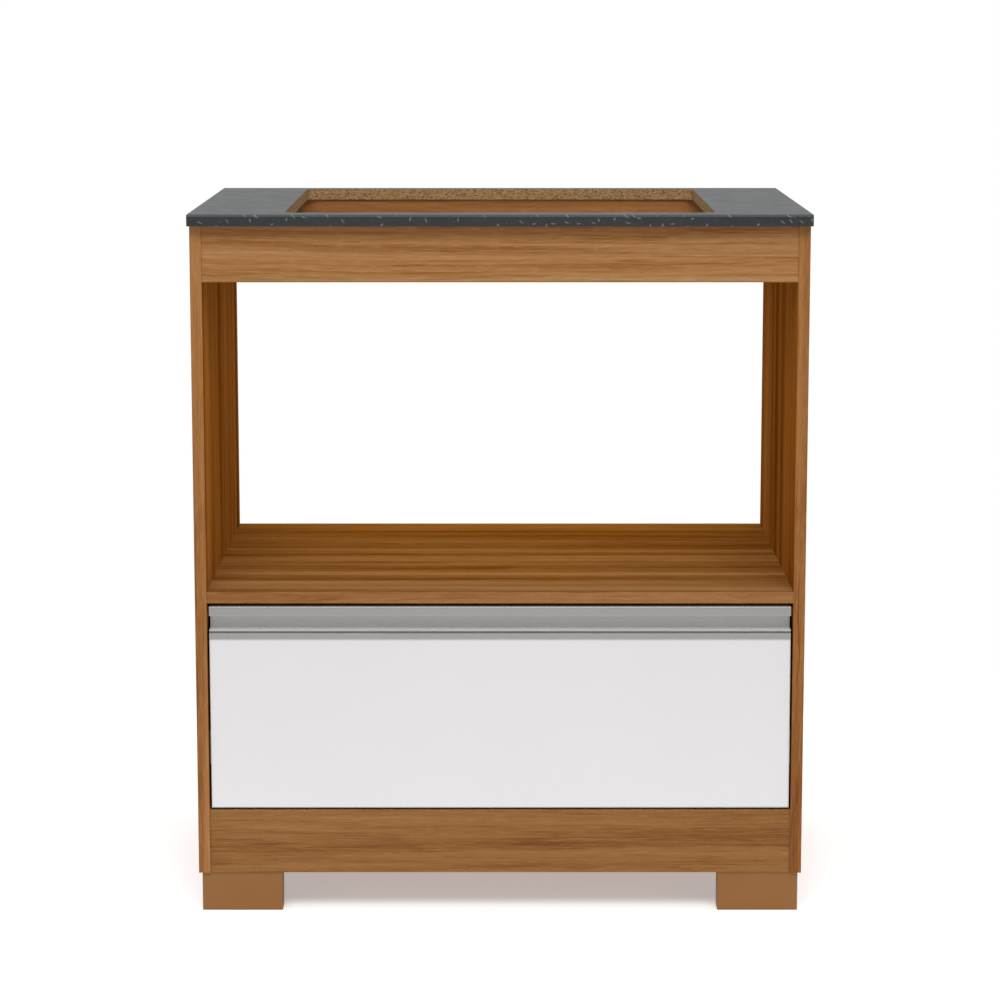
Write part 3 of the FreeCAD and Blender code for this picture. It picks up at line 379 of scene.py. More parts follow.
# %% Chipboard and hardboard
def chipboard(name):
    material, bench = new_bench(name)
    place = bench.place()
    sway = bench.add("TexNoise", {"Vector": place, "Scale": 300.0}, "Color")
    ragged = bench.vector("ADD", place, bench.vector("MULTIPLY", sway, (0.002,) * 3))
    chips = bench.vector("MULTIPLY", ragged, (380, 380, 900))
    chips = bench.add("TexVoronoi", {"Vector": chips, "Scale": 1.0}, "Color")
    tone = bench.add("SeparateColor", {0: chips})
    colour = bench.steps(tone, (0.0, paint(100, 70, 40)), (0.25, paint(146, 114, 76)),
                         (1.0, paint(182, 150, 108)))
    dust = bench.noise(place, 2500, 2.0)
    colour = bench.over(colour, dust, 0.3, paint(140, 105, 66))
    bench.finish(Base_Color=colour, Roughness=bench.spread(dust, 0.95, 0.85), Specular_IOR_Level=0.2,
                 Normal=bench.bump(bench.sum("ADD", tone, dust), 0.00025))
    return material


def hardboard(name, shade, screen):
    """screen is True for the side that carries the weave."""
    material, bench = new_bench(name)
    place = bench.place()
    felt = bench.noise(place, 900, 4.0, 0.7)
    cloud = bench.noise(place, 9, 3.0)
    clumps = bench.noise(place, 140, 4.0, 0.7)
    chips = bench.noise(place, 420, 1.0, 0.5, 0.62, 0.72)
    colour = shade
    layers = ((felt, 1.0, 0.72), (clumps, 0.35, 0.6), (cloud, 0.3, 0.5), (chips, 0.5, 0.35))
    for pattern, most, by in layers:
        colour = bench.over(colour, pattern, most, shaded(shade, by))
    height = felt
    if screen:
        waves = bench.vector("SINE", bench.vector("MULTIPLY", place, (3140,) * 3))
        threads = bench.add("SeparateXYZ", {0: waves})
        weave = bench.sum("MULTIPLY", threads, threads.node.outputs["Z"])
        height = bench.sum("MULTIPLY_ADD", weave, 0.8, felt)
        colour = bench.over(colour, weave, 0.25, paint(62, 40, 22))
    bench.finish(Base_Color=colour, Roughness=bench.spread(felt, 0.75, 0.9 if screen else 0.6),
                 Specular_IOR_Level=0.3, Normal=bench.bump(height, 0.0001))
    return material


raw_core = chipboard("chipboard_core")
hardboard_face = hardboard("hardboard_smooth", paint(158, 116, 76), False)
hardboard_screen = hardboard("hardboard_screen_side", paint(160, 120, 80), True)
print("raw finishes", raw_core.name, hardboard_face.name, hardboard_screen.name)

# %% [markdown]
# ## Worktop laminate
# The worktop is a dark slate laminate with small pale flakes, some round and some like short
# strokes. Voronoi cells scatter them: each cell turns its flake by its own angle and many cells stay
# empty. In three dimensions most strokes would pierce the surface and show as dots, so the cells are
# flat and lie on a sheet that is folded over the nose: one of its directions runs along the worktop,
# the other back over the top and down the front.

# %% Slate laminate
def flakes_of(bench, sheet, spacing, radius, slim, share):
    """1 inside a flake. A share of the cells holds one, and it is slim times as long as wide."""
    cell = bench.add("TexVoronoi", {"Vector": sheet, "Scale": 1 / spacing}, "Position",
                     voronoi_dimensions="2D")
    odds = bench.add("SeparateColor", {0: cell.node.outputs["Color"]})
    local = bench.vector("SUBTRACT", sheet, cell)
    angle = bench.sum("MULTIPLY", odds.node.outputs["Green"], math.tau)
    local = bench.add("VectorRotate", {"Vector": local, "Angle": angle}, rotation_type="Z_AXIS")
    reach = bench.vector("LENGTH", bench.vector("MULTIPLY", local, (1, slim, 0)), out="Value")
    ragged = bench.noise(sheet, 1.6 / radius, 2.0)
    reach = bench.sum("MULTIPLY_ADD", ragged, 0.6 * radius, reach)
    inside = bench.add("MapRange", {0: reach, 1: radius * 1.25, 2: radius * 0.9})
    return bench.sum("MULTIPLY", inside, bench.sum("LESS_THAN", odds, share))


def slate_laminate(name):
    material, bench = new_bench(name)
    place = bench.place()
    grit = bench.noise(place, 900, 3.0, 0.6)
    cloud = bench.noise(place, 45, 3.0)
    colour = bench.blend(grit, paint(26, 30, 32), paint(44, 48, 50))
    colour = bench.over(colour, cloud, 0.3, paint(52, 55, 58))
    across = bench.vector("DOT_PRODUCT", place, (1, 0.5, 0.5), out="Value")
    along = bench.vector("DOT_PRODUCT", place, (0, 1, -1), out="Value")
    sheet = bench.add("CombineXYZ", {0: across, 1: along})
    specks = flakes_of(bench, sheet, spacing=7 * MM, radius=0.9 * MM, slim=1.4, share=0.4)
    strokes = flakes_of(bench, sheet, spacing=15 * MM, radius=3.3 * MM, slim=3.0, share=0.6)
    colour = bench.over(colour, specks, 0.26, paint(126, 132, 136))
    colour = bench.over(colour, strokes, 0.42, paint(140, 146, 150))
    edge_patches = bench.edge_patches(place)
    colour = bench.over(colour, edge_patches, 0.12, paint(110, 112, 112))
    skin = bench.noise(place, 1500, 2.0)
    bench.finish(Base_Color=colour, Roughness=bench.spread(cloud, 0.30, 0.36), Specular_IOR_Level=0.45,
                 Normal=bench.bump(skin, 0.00003, 0.5))
    return material


worktop_slate = slate_laminate("slate_laminate")
print("worktop finish", worktop_slate.name)

# %% [markdown]
# ## White melamine
# The drawer is white chipboard. Its paper is not mirror smooth: a very fine orange peel breaks the
# shine, and the colour drifts by a hair over the board. Corners yellow a little where hands rub them.

# %% White melamine
def white_melamine(name, shade):
    material, bench = new_bench(name)
    place = bench.place()
    drift = bench.noise(place, 7, 3.0)
    peel = bench.noise(place, 1300, 2.0, 0.6)
    colour = bench.over(shade, drift, 0.25, shaded(shade, 0.955))
    edge_patches = bench.edge_patches(place)
    colour = bench.over(colour, edge_patches, 0.3, paint(196, 190, 180))
    rough = bench.sum("MULTIPLY_ADD", edge_patches, 0.15, bench.spread(drift, 0.36, 0.42))
    bench.finish(Base_Color=colour, Roughness=rough, Specular_IOR_Level=0.45,
                 Normal=bench.bump(peel, 0.00002, 0.6))
    return material


white_front = white_melamine("white_front", paint(217, 215, 216))
white_inside = white_melamine("white_inside", paint(224, 223, 221))
print("white finishes", white_front.name, white_inside.name)

# %% [markdown]
# ## Metals
# All the metals share one recipe: a base tone, lumps of zinc or cast grain, and lines where the metal
# was drawn, rolled or brushed, which are noise stretched along the part. Steel balls have hardly any of
# it, cast zinc has a coarse skin, and the handle's satin anodising has long fine lines. The handle's
# ledges, which face up, get a lighter, less metallic copy of the anodising, a painted highlight for the
# lamp's light on them, and its groove gets a darker, duller copy, a painted shade.

# %% Metals
def metal(name, shade, rough, lines=None, lumps=0.1, skin=0.00002, bare=1.0):
    """lines is how often the pattern changes per metre along X, Y and Z; bare is 1 for bare metal."""
    material, bench = new_bench(name)
    place = bench.place()
    cloud = bench.noise(place, 220, 3.0)
    fine = bench.noise(place, lines or (2600,) * 3, 2.0, 0.6)
    dark = shaded(shade, 0.72)
    colour = bench.over(shade, cloud, lumps * 2, dark)
    colour = bench.over(colour, fine, lumps * 1.5, dark)
    edge_patches = bench.edge_patches(place)
    colour = bench.over(colour, edge_patches, 0.5, shaded(shade, 1.35))
    roughness = bench.sum("MULTIPLY_ADD", fine, 0.10, bench.spread(cloud, rough - 0.04, rough + 0.03))
    bench.finish(Base_Color=colour, Metallic=bare, Roughness=roughness,
                 Normal=bench.bump(fine, skin, 0.7))
    return material


DRAWN = (6, 2400, 2400)
anodised = metal("anodised_aluminium", paint(182, 181, 180), 0.30, DRAWN, 0.06, 0.00001)
# A lighter, less metallic copy of the anodising: painted highlight for the handle's upward ledges.
anodised_ledge_painted_highlight = metal("anodised_ledge_painted_highlight", paint(232, 231, 230), 0.45, DRAWN, 0.06, 0.00001, 0.2)
# A darker, duller copy of the anodising: painted shade for the handle's groove.
anodised_groove_painted_shade = metal("anodised_groove_painted_shade", paint(176, 175, 174), 0.5, DRAWN, 0.1, 0.00001)
zinc_steel = metal("zinc_plated_steel", paint(196, 198, 200), 0.28, (300, 300, 300), 0.16)
rolled_steel = metal("rolled_zinc_steel", paint(190, 192, 194), 0.30, (2000, 5, 2000), 0.12)
cast_zinc = metal("cast_zinc", paint(158, 158, 156), 0.42, (900, 900, 900), 0.2, 0.00006)
cage_steel = metal("cage_steel", paint(186, 184, 176), 0.34, (2000, 8, 2000), 0.1)
ball_steel = metal("ball_steel", paint(205, 205, 206), 0.08, None, 0.03, 0.000002)
print("metals are ready")

# %% [markdown]
# ## Plastics, rubber and dowel wood
# Moulded plastic has one colour right through, so only its skin varies: a fine grain from the mould,
# slow changes in shine where it filled last, and pale scuffs on corners. The feet are a plain brown
# close to the wood, the slide's lever is glossy black, the buffer is dull rubber.

# %% Plastics
def plastic(name, shade, rough, grain=700, scuff=(200, 190, 175), depth=0.00003):
    material, bench = new_bench(name)
    place = bench.place()
    skin = bench.noise(place, grain, 3.0, 0.6)
    slow = bench.noise(place, 25, 2.0)
    colour = bench.over(shade, slow, 0.16, shaded(shade, 0.8))
    edge_patches = bench.edge_patches(place, 90)
    colour = bench.over(colour, edge_patches, 0.22, paint(*scuff))
    roughness = bench.sum("MULTIPLY_ADD", edge_patches, 0.1, bench.spread(slow, rough, rough + 0.07))
    bench.finish(Base_Color=colour, Roughness=roughness, Specular_IOR_Level=0.45,
                 Normal=bench.bump(skin, depth, 0.7))
    return material


foot_plastic = plastic("foot_plastic", paint(133, 86, 33), 0.5, 600)
lever_plastic = plastic("lever_plastic", paint(24, 24, 26), 0.35, 900, (90, 90, 92))
buffer_rubber = plastic("buffer_rubber", paint(30, 30, 30), 0.8, 400, (70, 70, 70), 0.00008)
cover_brown = plastic("cover_brown", paint(140, 96, 55), 0.4, 900)
cover_white = plastic("cover_white", paint(228, 227, 224), 0.38, 900)
backing_sheet = plastic("backing_sheet", paint(150, 140, 126), 0.7)


def beech(name):
    material, bench = new_bench(name)
    place = bench.place()
    rays = bench.noise(place, (260, 1200, 1200), 2.0)
    cloud = bench.noise(place, 60, 2.0)
    colour = bench.blend(rays, paint(206, 168, 122), paint(184, 142, 98))
    colour = bench.over(colour, cloud, 0.2, paint(160, 118, 78))
    bench.finish(Base_Color=colour, Roughness=bench.spread(rays, 0.7, 0.6),
                 Normal=bench.bump(rays, 0.0001))
    return material


dowel_beech = beech("dowel_beech")
print("plastics and beech are ready")

# %% [markdown]
# ## Shaping tools
# A CAD node comes as loose triangles with razor edges. Nothing real has those: an edge rolls off by a
# few tenths of a millimetre and catches the light. These tools join a copy of the triangles into whole
# faces, round the edges that are asked for, mark the rounded strips with an "edge" value that the
# finishes read, and put the result in the node's place on the node's body.

# %% Shaping tools
def merged_copy(node):
    """The faces of a CAD node as one closed mesh."""
    shape = bmesh.new()
    shape.from_mesh(frame["nodes"][node].data)
    bmesh.ops.remove_doubles(shape, verts=shape.verts, dist=0.002 * MM)
    bmesh.ops.dissolve_limit(shape, angle_limit=math.radians(0.5), verts=shape.verts, edges=shape.edges)
    shape.faces.layers.float.new("edge")
    return shape


def sharp_edges(shape, shortest=10.0, test=None):
    """Edges between two faces at over 40 degrees, at least this long in millimetres."""
    return [edge for edge in shape.edges
            if edge.is_manifold and edge.calc_face_angle() > math.radians(40)
            and edge.calc_length() >= shortest * MM and (test is None or test(edge))]


def ease(shape, edges, width, cuts=2):
    """Rounds these edges by width millimetres and marks the new strips."""
    layer = shape.faces.layers.float["edge"]
    made = bmesh.ops.bevel(shape, geom=edges, offset=width * MM, offset_type="OFFSET", segments=cuts,
                           profile=0.5, affect="EDGES", clamp_overlap=True)
    for face in made["faces"]:
        face[layer] = 1.0


def plain(thing):
    """Turns what the modifiers make of an object into its own mesh."""
    graph = bpy.context.evaluated_depsgraph_get()
    mesh = bpy.data.meshes.new_from_object(thing.evaluated_get(graph), preserve_all_data_layers=True,
                                           depsgraph=graph)
    thing.modifiers.clear()
    thing.data = mesh
    return thing


def settle(piece, node):
    """Puts a piece on the body of the node that it stands for."""
    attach(piece, frame["nodes"][node]["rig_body"])
    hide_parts(node)
    print(piece.name, "faces", len(piece.data.polygons))
    return piece


def mesh_from(shape, name, finishes=()):
    mesh = bpy.data.meshes.new(name)
    for finish in finishes:
        mesh.materials.append(finish)
    shape.to_mesh(mesh)
    shape.free()
    return mesh


def piece_from(shape, name, finishes, rule=None):
    """An object from a shape, smooth over its rounded strips and flat between them."""
    shape.normal_update()
    for face in shape.faces:
        face.smooth = True
        if rule:
            face.material_index = rule(face)
    for edge in shape.edges:
        edge.smooth = not edge.is_manifold or edge.calc_face_angle() < math.radians(50)
    piece = stand(name, mesh_from(shape, name, finishes))
    piece.modifiers.new("even_normals", "WEIGHTED_NORMAL").keep_sharp = True
    return plain(piece)


def eased_piece(node, ending, finishes, rule=None, width=0.2, cuts=2, shortest=10.0):
    """A CAD node with its long edges eased, in the node's place. The rule picks each face's finish."""
    shape = merged_copy(node)
    ease(shape, sharp_edges(shape, shortest), width, cuts)
    return settle(piece_from(shape, f"{node}_{ending}", finishes, rule), node)


print("triangles of the worktop in the CAD", len(frame["nodes"]["worktop"].data.polygons))

# %% [markdown]
# ## Carcass boards
# Two uprights carry two top rails, the niche's shelf, the base and two plinths. Only a board's two
# large faces are printed, so the rule for each looks at which way a face points: along the board's
# thin direction it is print, and anywhere else it is the raw core. All the long edges are eased by
# 0.2 mm, which leaves the hairline that shows where two boards meet.

# %% Boards
THIN = {"side_panel_left": 0, "side_panel_right": 0, "drawer_side_left": 0, "drawer_side_right": 0,
        "niche_shelf": 2, "base_panel": 2}


def make_board(node, finish):
    thin = THIN.get(node, 1)

    def finish_of(face):
        if abs(face.normal[thin]) < 0.5:
            return 1
        # Faces that point inward, into the niche, take the painted shade print.
        return 2 if node in painted_shade_prints and face.normal.x * face.calc_center_median().x < 0 else 0

    eased_piece(node, "board", [finish, raw_core, painted_shade_prints.get(node, finish)], finish_of)


for node, finish in board_prints.items():
    make_board(node, finish)

# %% [markdown]
# ## Edge bands
# Every edge that shows is closed with a printed strip 0.8 mm thick, glued on and trimmed with a small
# round cutter. The two outer corners of a strip are therefore round and the inner ones stay tight to
# the board; on the cabinet's outer sides the round is drawn out wider, as the picture has it. The outer
# side of a strip is the side that no board touches, which the boxes tell.

# %% Edge bands
BAND_ROUND = 0.6
# The widened outer round keeps its eased-edge mark, so the wood darkens it there as painted shade.
SIDE_STRETCH = 3.2


def islands(shape):
    """The separate solids of a shape, each as a list of faces."""
    seen, found = set(), []
    for first in shape.faces:
        if first in seen:
            continue
        group = [first]
        seen.add(first)
        for face in group:
            near = [other for edge in face.edges for other in edge.link_faces if other not in seen]
            seen.update(near)
            group.extend(dict.fromkeys(near))
        found.append(group)
    return found


def box_of(faces):
    spots = [vert.co for face in faces for vert in face.verts]
    return (Vector([min(spot[i] for spot in spots) for i in range(3)]),
            Vector([max(spot[i] for spot in spots) for i in range(3)]))


def outer_level(box, boards):
    """The thin direction of a strip, and the level of the side that no board touches."""
    thin = min(range(3), key=lambda i: box[1][i] - box[0][i])
    for board in boards:
        low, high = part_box(board)
        if all(low[i] < box[1][i] and box[0][i] < high[i] for i in range(3) if i != thin):
            if abs(high[thin] - box[0][thin]) < TOUCH:
                return thin, box[1][thin]
            if abs(low[thin] - box[1][thin]) < TOUCH:
                return thin, box[0][thin]
    raise ValueError("a band touches no board")


def make_bands(node, boards, finishes):
    """finishes are those of the lying strips and of the upright ones."""
    shape = merged_copy(node)
    outer, upright = [], []
    for group in islands(shape):
        box = box_of(group)
        thin, level = outer_level(box, boards)
        edges = dict.fromkeys(edge for face in group for edge in face.edges)
        outer += [edge for edge in edges if edge.is_manifold and edge.calc_length() > 5 * MM
                  and all(abs(vert.co[thin] - level) < TOUCH for vert in edge.verts)]
        if box[1].z - box[0].z > box[1].x - box[0].x:
            upright.append((box[0].x - MM, box[1].x + MM))
    ease(shape, outer, BAND_ROUND, 3)
    side = max(abs(vert.co.x) for vert in shape.verts)
    for vert in shape.verts:
        inward = side - abs(vert.co.x)
        if node == "edge_bands_carcass" and TOUCH < inward < (BAND_ROUND + 0.05) * MM:
            vert.co.x = math.copysign(side - SIDE_STRETCH * inward, vert.co.x)
    rule = lambda face: int(any(low < face.calc_center_median().x < high for low, high in upright))
    settle(piece_from(shape, node + "_strips", finishes, rule), node)


make_bands("edge_bands_carcass", list(board_prints), [band_lengthwise, band_upright])

# %% [markdown]
# ## Worktop
# A 15 mm slab with a rounded nose at the front and one large opening. The laminate wraps the top, the
# nose and the edges; the opening is sawn after that, so its walls show the chipboard core, and the
# underside has a plain backing sheet. The top's rims are eased all round, the small corners of the
# opening as well, so those edges are picked by level and not by length.

# %% Worktop
def make_worktop():
    shape = merged_copy("worktop")
    low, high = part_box("worktop")
    rims = sharp_edges(shape, 0.0, lambda edge: all(high.z - vert.co.z < TOUCH for vert in edge.verts))
    rims += sharp_edges(shape, test=lambda edge: edge not in rims)
    ease(shape, rims, 0.35)
    inset = 20 * MM

    def finish_of(face):
        spot, way = face.calc_center_median(), face.normal
        if way.z < -0.5:
            return 2
        inside = low.x + inset < spot.x < high.x - inset and low.y + inset < spot.y < high.y - inset
        return 1 if inside and way.z < 0.5 else 0

    slab = piece_from(shape, "worktop_slab", [worktop_slate, raw_core, backing_sheet], finish_of)
    settle(slab, "worktop")


make_worktop()

# %% [markdown]
# ## Feet
# Four corner feet moulded in brown plastic, hollow below and stiffened by ribs. A moulding has no
# sharp corner anywhere, so all its long edges are eased by more than the boards are.

# %% Feet
for node in ("foot_front_left", "foot_front_right", "foot_rear_left", "foot_rear_right"):
    eased_piece(node, "moulding", [foot_plastic], width=0.6, cuts=3, shortest=8.0)

# %% [markdown]
# ## Back panel of the drawer bay
# A 3 mm hardboard sheet nailed on from behind. Its smooth side faces into the cabinet and its screen
# side faces the wall.

# %% Back panel
eased_piece("back_panel", "sheet", [hardboard_face, hardboard_screen],
            lambda face: int(face.normal.y > 0.5))

# %% [markdown]
# ## Drawer
# The drawer is a white box with a separate front. Its front, sides and back are boards with bands like
# those of the carcass, and its bottom is a hardboard sheet, white above, that slides into grooves.

# %% Drawer boards
drawer_boards = ["drawer_front", "drawer_side_left", "drawer_side_right", "drawer_back"]
for node in drawer_boards:
    make_board(node, white_front if node == "drawer_front" else white_inside)
make_bands("edge_bands_drawer", drawer_boards, [white_front, white_front])
eased_piece("drawer_bottom", "sheet", [white_inside, hardboard_screen],
            lambda face: int(face.normal.z < 0.5))

# %% [markdown]
# ## Handle
# The handle is an aluminium profile as wide as the drawer: fingers go behind its upper lip, and its
# lower lip grips the front's top edge. A profile is one outline pushed through a die, so it follows a
# rule: outline, rounded corners, length. A Geometry Nodes tree does just that. The outline is
# read from the CAD node's own end face, so it can't drift from the frame.

# %% Profile tree
def new_tree(name, *inputs):
    """A Geometry Nodes tree with these (name, kind) inputs, and the outputs of its input node."""
    tree = bpy.data.node_groups.new(name, "GeometryNodeTree")
    for socket, kind in inputs:
        tree.interface.new_socket(socket, in_out="INPUT", socket_type="NodeSocket" + kind)
    tree.interface.new_socket("Result", in_out="OUTPUT", socket_type="NodeSocketGeometry")
    return tree, tree.nodes.new("NodeGroupInput").outputs


def make_profile_tree():
    tree, given = new_tree("pushed_profile", ("Outline", "Geometry"), ("Corner", "Float"),
                           ("Start", "Float"), ("End", "Float"), ("Finish", "Material"))
    add = lambda *words, **options: add_node(tree, *words, **options)
    outline = add("GeometryNodeMeshToCurve", {"Mesh": given["Outline"]})
    outline = add("GeometryNodeFilletCurve", {"Curve": outline, "Radius": given["Corner"], "Count": 3,
                                              "Limit Radius": True}, mode="POLY")
    start = add("ShaderNodeCombineXYZ", {"X": given["Start"]})
    end = add("ShaderNodeCombineXYZ", {"X": given["End"]})
    path = add("GeometryNodeCurvePrimitiveLine", {"Start": start, "End": end})
    bar = add("GeometryNodeCurveToMesh", {"Curve": path, "Profile Curve": outline, "Fill Caps": True})
    bar = add("GeometryNodeRealizeInstances", {"Geometry": bar})
    bar = add("GeometryNodeSetMaterial", {"Geometry": bar, "Material": given["Finish"]})
    add("NodeGroupOutput", {"Result": bar})
    return tree


profile = make_profile_tree()
print("profile tree nodes", len(profile.nodes))

# %% [markdown]
# A modifier's inputs are set by each socket's identifier. The tree's result is turned into a plain
# mesh at once, so that nothing live is left on the piece.

# %% Run a tree
def grow(name, mesh, tree, **inputs):
    """A plain object with what the tree makes of this mesh; an underscore stands for a space."""
    thing = stand(name, mesh)
    modifier = thing.modifiers.new(tree.name, "NODES")
    modifier.node_group = tree
    sockets = {item.name: item.identifier for item in tree.interface.items_tree if item.in_out == "INPUT"}
    for socket, value in inputs.items():
        modifier[sockets[socket.replace("_", " ")]] = value
    return plain(thing)


def end_outline(node):
    """The CAD node's outline on its low X end, as (Y, Z) pairs in order."""
    shape = merged_copy(node)
    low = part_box(node)[0].x
    caps = [face for face in shape.faces
            if face.normal.x < -0.99 and abs(face.calc_center_median().x - low) < TOUCH]
    edges = [edge for face in caps for edge in face.edges
             if sum(other in caps for other in edge.link_faces) == 1]
    ordered = list(edges[0].verts)
    while len(ordered) < len(edges):
        ordered.append(next(vert for edge in edges if ordered[-1] in edge.verts for vert in edge.verts
                            if vert not in ordered))
    pairs = [(vert.co.y, vert.co.z) for vert in ordered]
    shape.free()
    return pairs


handle_outline = end_outline("drawer_handle")
print("outline corners", len(handle_outline))

# %% [markdown]
# The bar is sawn to the drawer's width, so its two ends are flat cuts with a fine rim, and the long
# corners of the die are rounder. The bar could be built as a box with pieces cut out of it, but then
# each corner would need rounding by hand. By where a face lies, the upward ledges get the painted
# highlight copy of the anodising and the groove the painted shade copy.

# %% Handle
CORNER = 0.7 * MM
LIP_EDGE = 0.4 * MM
GROOVE_BOTTOM, GROOVE_TOP = 374.6 * MM, 378.0 * MM


def make_handle():
    low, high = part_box("drawer_handle")
    mesh = bpy.data.meshes.new("handle_outline")
    sides = [(i, (i + 1) % len(handle_outline)) for i in range(len(handle_outline))]
    mesh.from_pydata([(-y, -z, 0) for y, z in handle_outline], sides, [])
    raw = grow("handle_raw", mesh, profile, Corner=CORNER, Start=low.x, End=high.x, Finish=anodised)
    shape = bmesh.new()
    shape.from_mesh(raw.data)
    bpy.data.objects.remove(raw)
    bmesh.ops.remove_doubles(shape, verts=shape.verts, dist=0.001 * MM)
    shape.faces.layers.float.new("edge")
    bmesh.ops.recalc_face_normals(shape, faces=shape.faces)
    ends = [edge for edge in shape.edges if edge.is_manifold and edge.calc_face_angle() > 1
            and abs(edge.verts[0].co.x - edge.verts[1].co.x) < TOUCH]
    ease(shape, ends, 0.12, 1)

    # The groove takes the painted shade copy, and faces that point up take the painted highlight copy.
    def finish_of(face):
        spot = face.calc_center_median()
        if GROOVE_BOTTOM < spot.z <= GROOVE_TOP and spot.y > low.y + LIP_EDGE:
            return 2
        return 1 if face.normal.z > 0.95 else 0

    piece = piece_from(shape, "handle_profile", [anodised, anodised_ledge_painted_highlight, anodised_groove_painted_shade], finish_of)
    settle(piece, "drawer_handle")


make_handle()

# %% [markdown]
# ## Fasteners
# Screws, nails, caps and balls repeat by the dozen. Each kind is modelled once, and a Geometry Nodes
# tree sets a copy on every place and turns each by its own angle, because no two screws stop alike. The
# places and sizes are measured on the CAD's own solids: the centre line, the wider end, which is the
# head, the head's radius and height, and the shank.

# %% Measure the CAD's fasteners
def measured(node, boards=(), axis=None):
    """The head point and outward direction of each fastener in a node, and the sizes of the first."""
    shape = merged_copy(node)
    spots, ways, sizes = [], [], {}
    for group in islands(shape):
        low, high = box_of(group)
        span, middle = high - low, (low + high) / 2
        if boards:
            thin, level = outer_level((low, high), boards)
            sign = 1 if level > middle[thin] else -1
        else:
            thin = max(range(3), key=lambda i: span[i]) if axis is None else axis
            width = {1: 0.0, -1: 0.0}
            for vert in dict.fromkeys(vert for face in group for vert in face.verts):
                off = vert.co - middle
                side = 1 if off[thin] > 0 else -1
                off[thin] = 0
                width[side] = max(width[side], off.length)
            sign = 1 if width[1] >= width[-1] else -1
        way = Vector((0, 0, 0))
        way[thin] = sign
        head = middle + way * span[thin] / 2
        spots.append(head)
        ways.append(way)
        if not sizes:
            radial = []
            for vert in {vert for face in group for vert in face.verts}:
                off = vert.co - head
                along = off.dot(way)
                radial.append((along, (off - way * along).length))
            length, widest = span[thin], max(far for _, far in radial)
            head_low = min(along for along, far in radial if far > 0.97 * widest and along > -length / 2)
            shank = max((far for along, far in radial if along < -length / 2), default=widest)
            sizes = {"head": widest, "head_height": -head_low, "shank": shank, "length": length}
    shape.free()
    return spots, ways, sizes


for node in ("foot_screws", "handle_screws", "back_panel_nails", "drawer_back_screws"):
    spots, ways, sizes = measured(node)
    print(node, len(spots), {name: round(size / MM, 2) for name, size in sizes.items()})

# %% [markdown]
# One tree serves every kind of fastener. Each place is a point that carries the direction its head
# faces; the tree stands a copy of the model on it and turns it about its own axis. Copies set by hand
# would not follow the CAD when it changes.

# %% Fastener tree
def make_fastener_tree():
    tree, given = new_tree("fasteners", ("Places", "Geometry"), ("Fastener", "Object"),
                           ("Most turn", "Float"), ("Seed", "Int"), ("Finish", "Material"))
    add = lambda *words, **options: add_node(tree, *words, **options)
    way = add("GeometryNodeInputNamedAttribute", {"Name": "way"}, data_type="FLOAT_VECTOR")
    aim = add("FunctionNodeAlignRotationToVector", {"Vector": way}, axis="Z")
    turn = {3: given["Most turn"], "Seed": given["Seed"]}
    turn = add("FunctionNodeRandomValue", turn, 1, data_type="FLOAT")
    spin = add("FunctionNodeAxisAngleToRotation", {"Axis": (0, 0, 1), "Angle": turn})
    aim = add("FunctionNodeRotateRotation", {"Rotation": aim, "Rotate By": spin}, rotation_space="LOCAL")
    one = add("GeometryNodeObjectInfo", {"Object": given["Fastener"], "As Instance": True}, "Geometry")
    many = {"Points": given["Places"], "Instance": one, "Rotation": aim}
    many = add("GeometryNodeInstanceOnPoints", many)
    many = add("GeometryNodeRealizeInstances", {"Geometry": many})
    many = add("GeometryNodeSetMaterial", {"Geometry": many, "Material": given["Finish"]})
    add("NodeGroupOutput", {"Result": many})
    return tree


fasteners = make_fastener_tree()
print("fastener tree nodes", len(fasteners.nodes))

# %% [markdown]
# A screw, a nail, a cap and a ball are all turned shapes: an outline of radii and heights, spun round
# an axis. The faces are laid ring by ring here, so that they point outwards without any repair. A
# screw's head also has a cross sunk into it, whose twelve corners are joined to the ring around them.

# %% Turned models
def turned(name, outline, steps=24, cross=None):
    """outline is (radius, height) from the top ring down. cross is (arm, half width, depth) or None."""
    shape = bmesh.new()
    angles = [math.tau * (step + 0.5) / steps for step in range(steps)]
    ways = [(math.cos(angle), math.sin(angle)) for angle in angles]
    rings = []
    for radius, height in outline:
        if radius == 0:
            rings.append([shape.verts.new((0, 0, height))] * steps)
        else:
            rings.append([shape.verts.new((radius * x, radius * y, height)) for x, y in ways])
    for upper, lower in zip(rings, rings[1:]):
        for i in range(steps):
            j = (i + 1) % steps
            corners = [upper[i], lower[i], lower[j], upper[j]]
            shape.faces.new(list(dict.fromkeys(corners)))
    if cross:
        sink_cross(shape, rings[0], outline[0][1], *cross)
    for face in shape.faces:
        face.smooth = True
    for edge in shape.edges:
        edge.smooth = edge.calc_face_angle(0) < math.radians(40)
    return stand(name, mesh_from(shape, name))


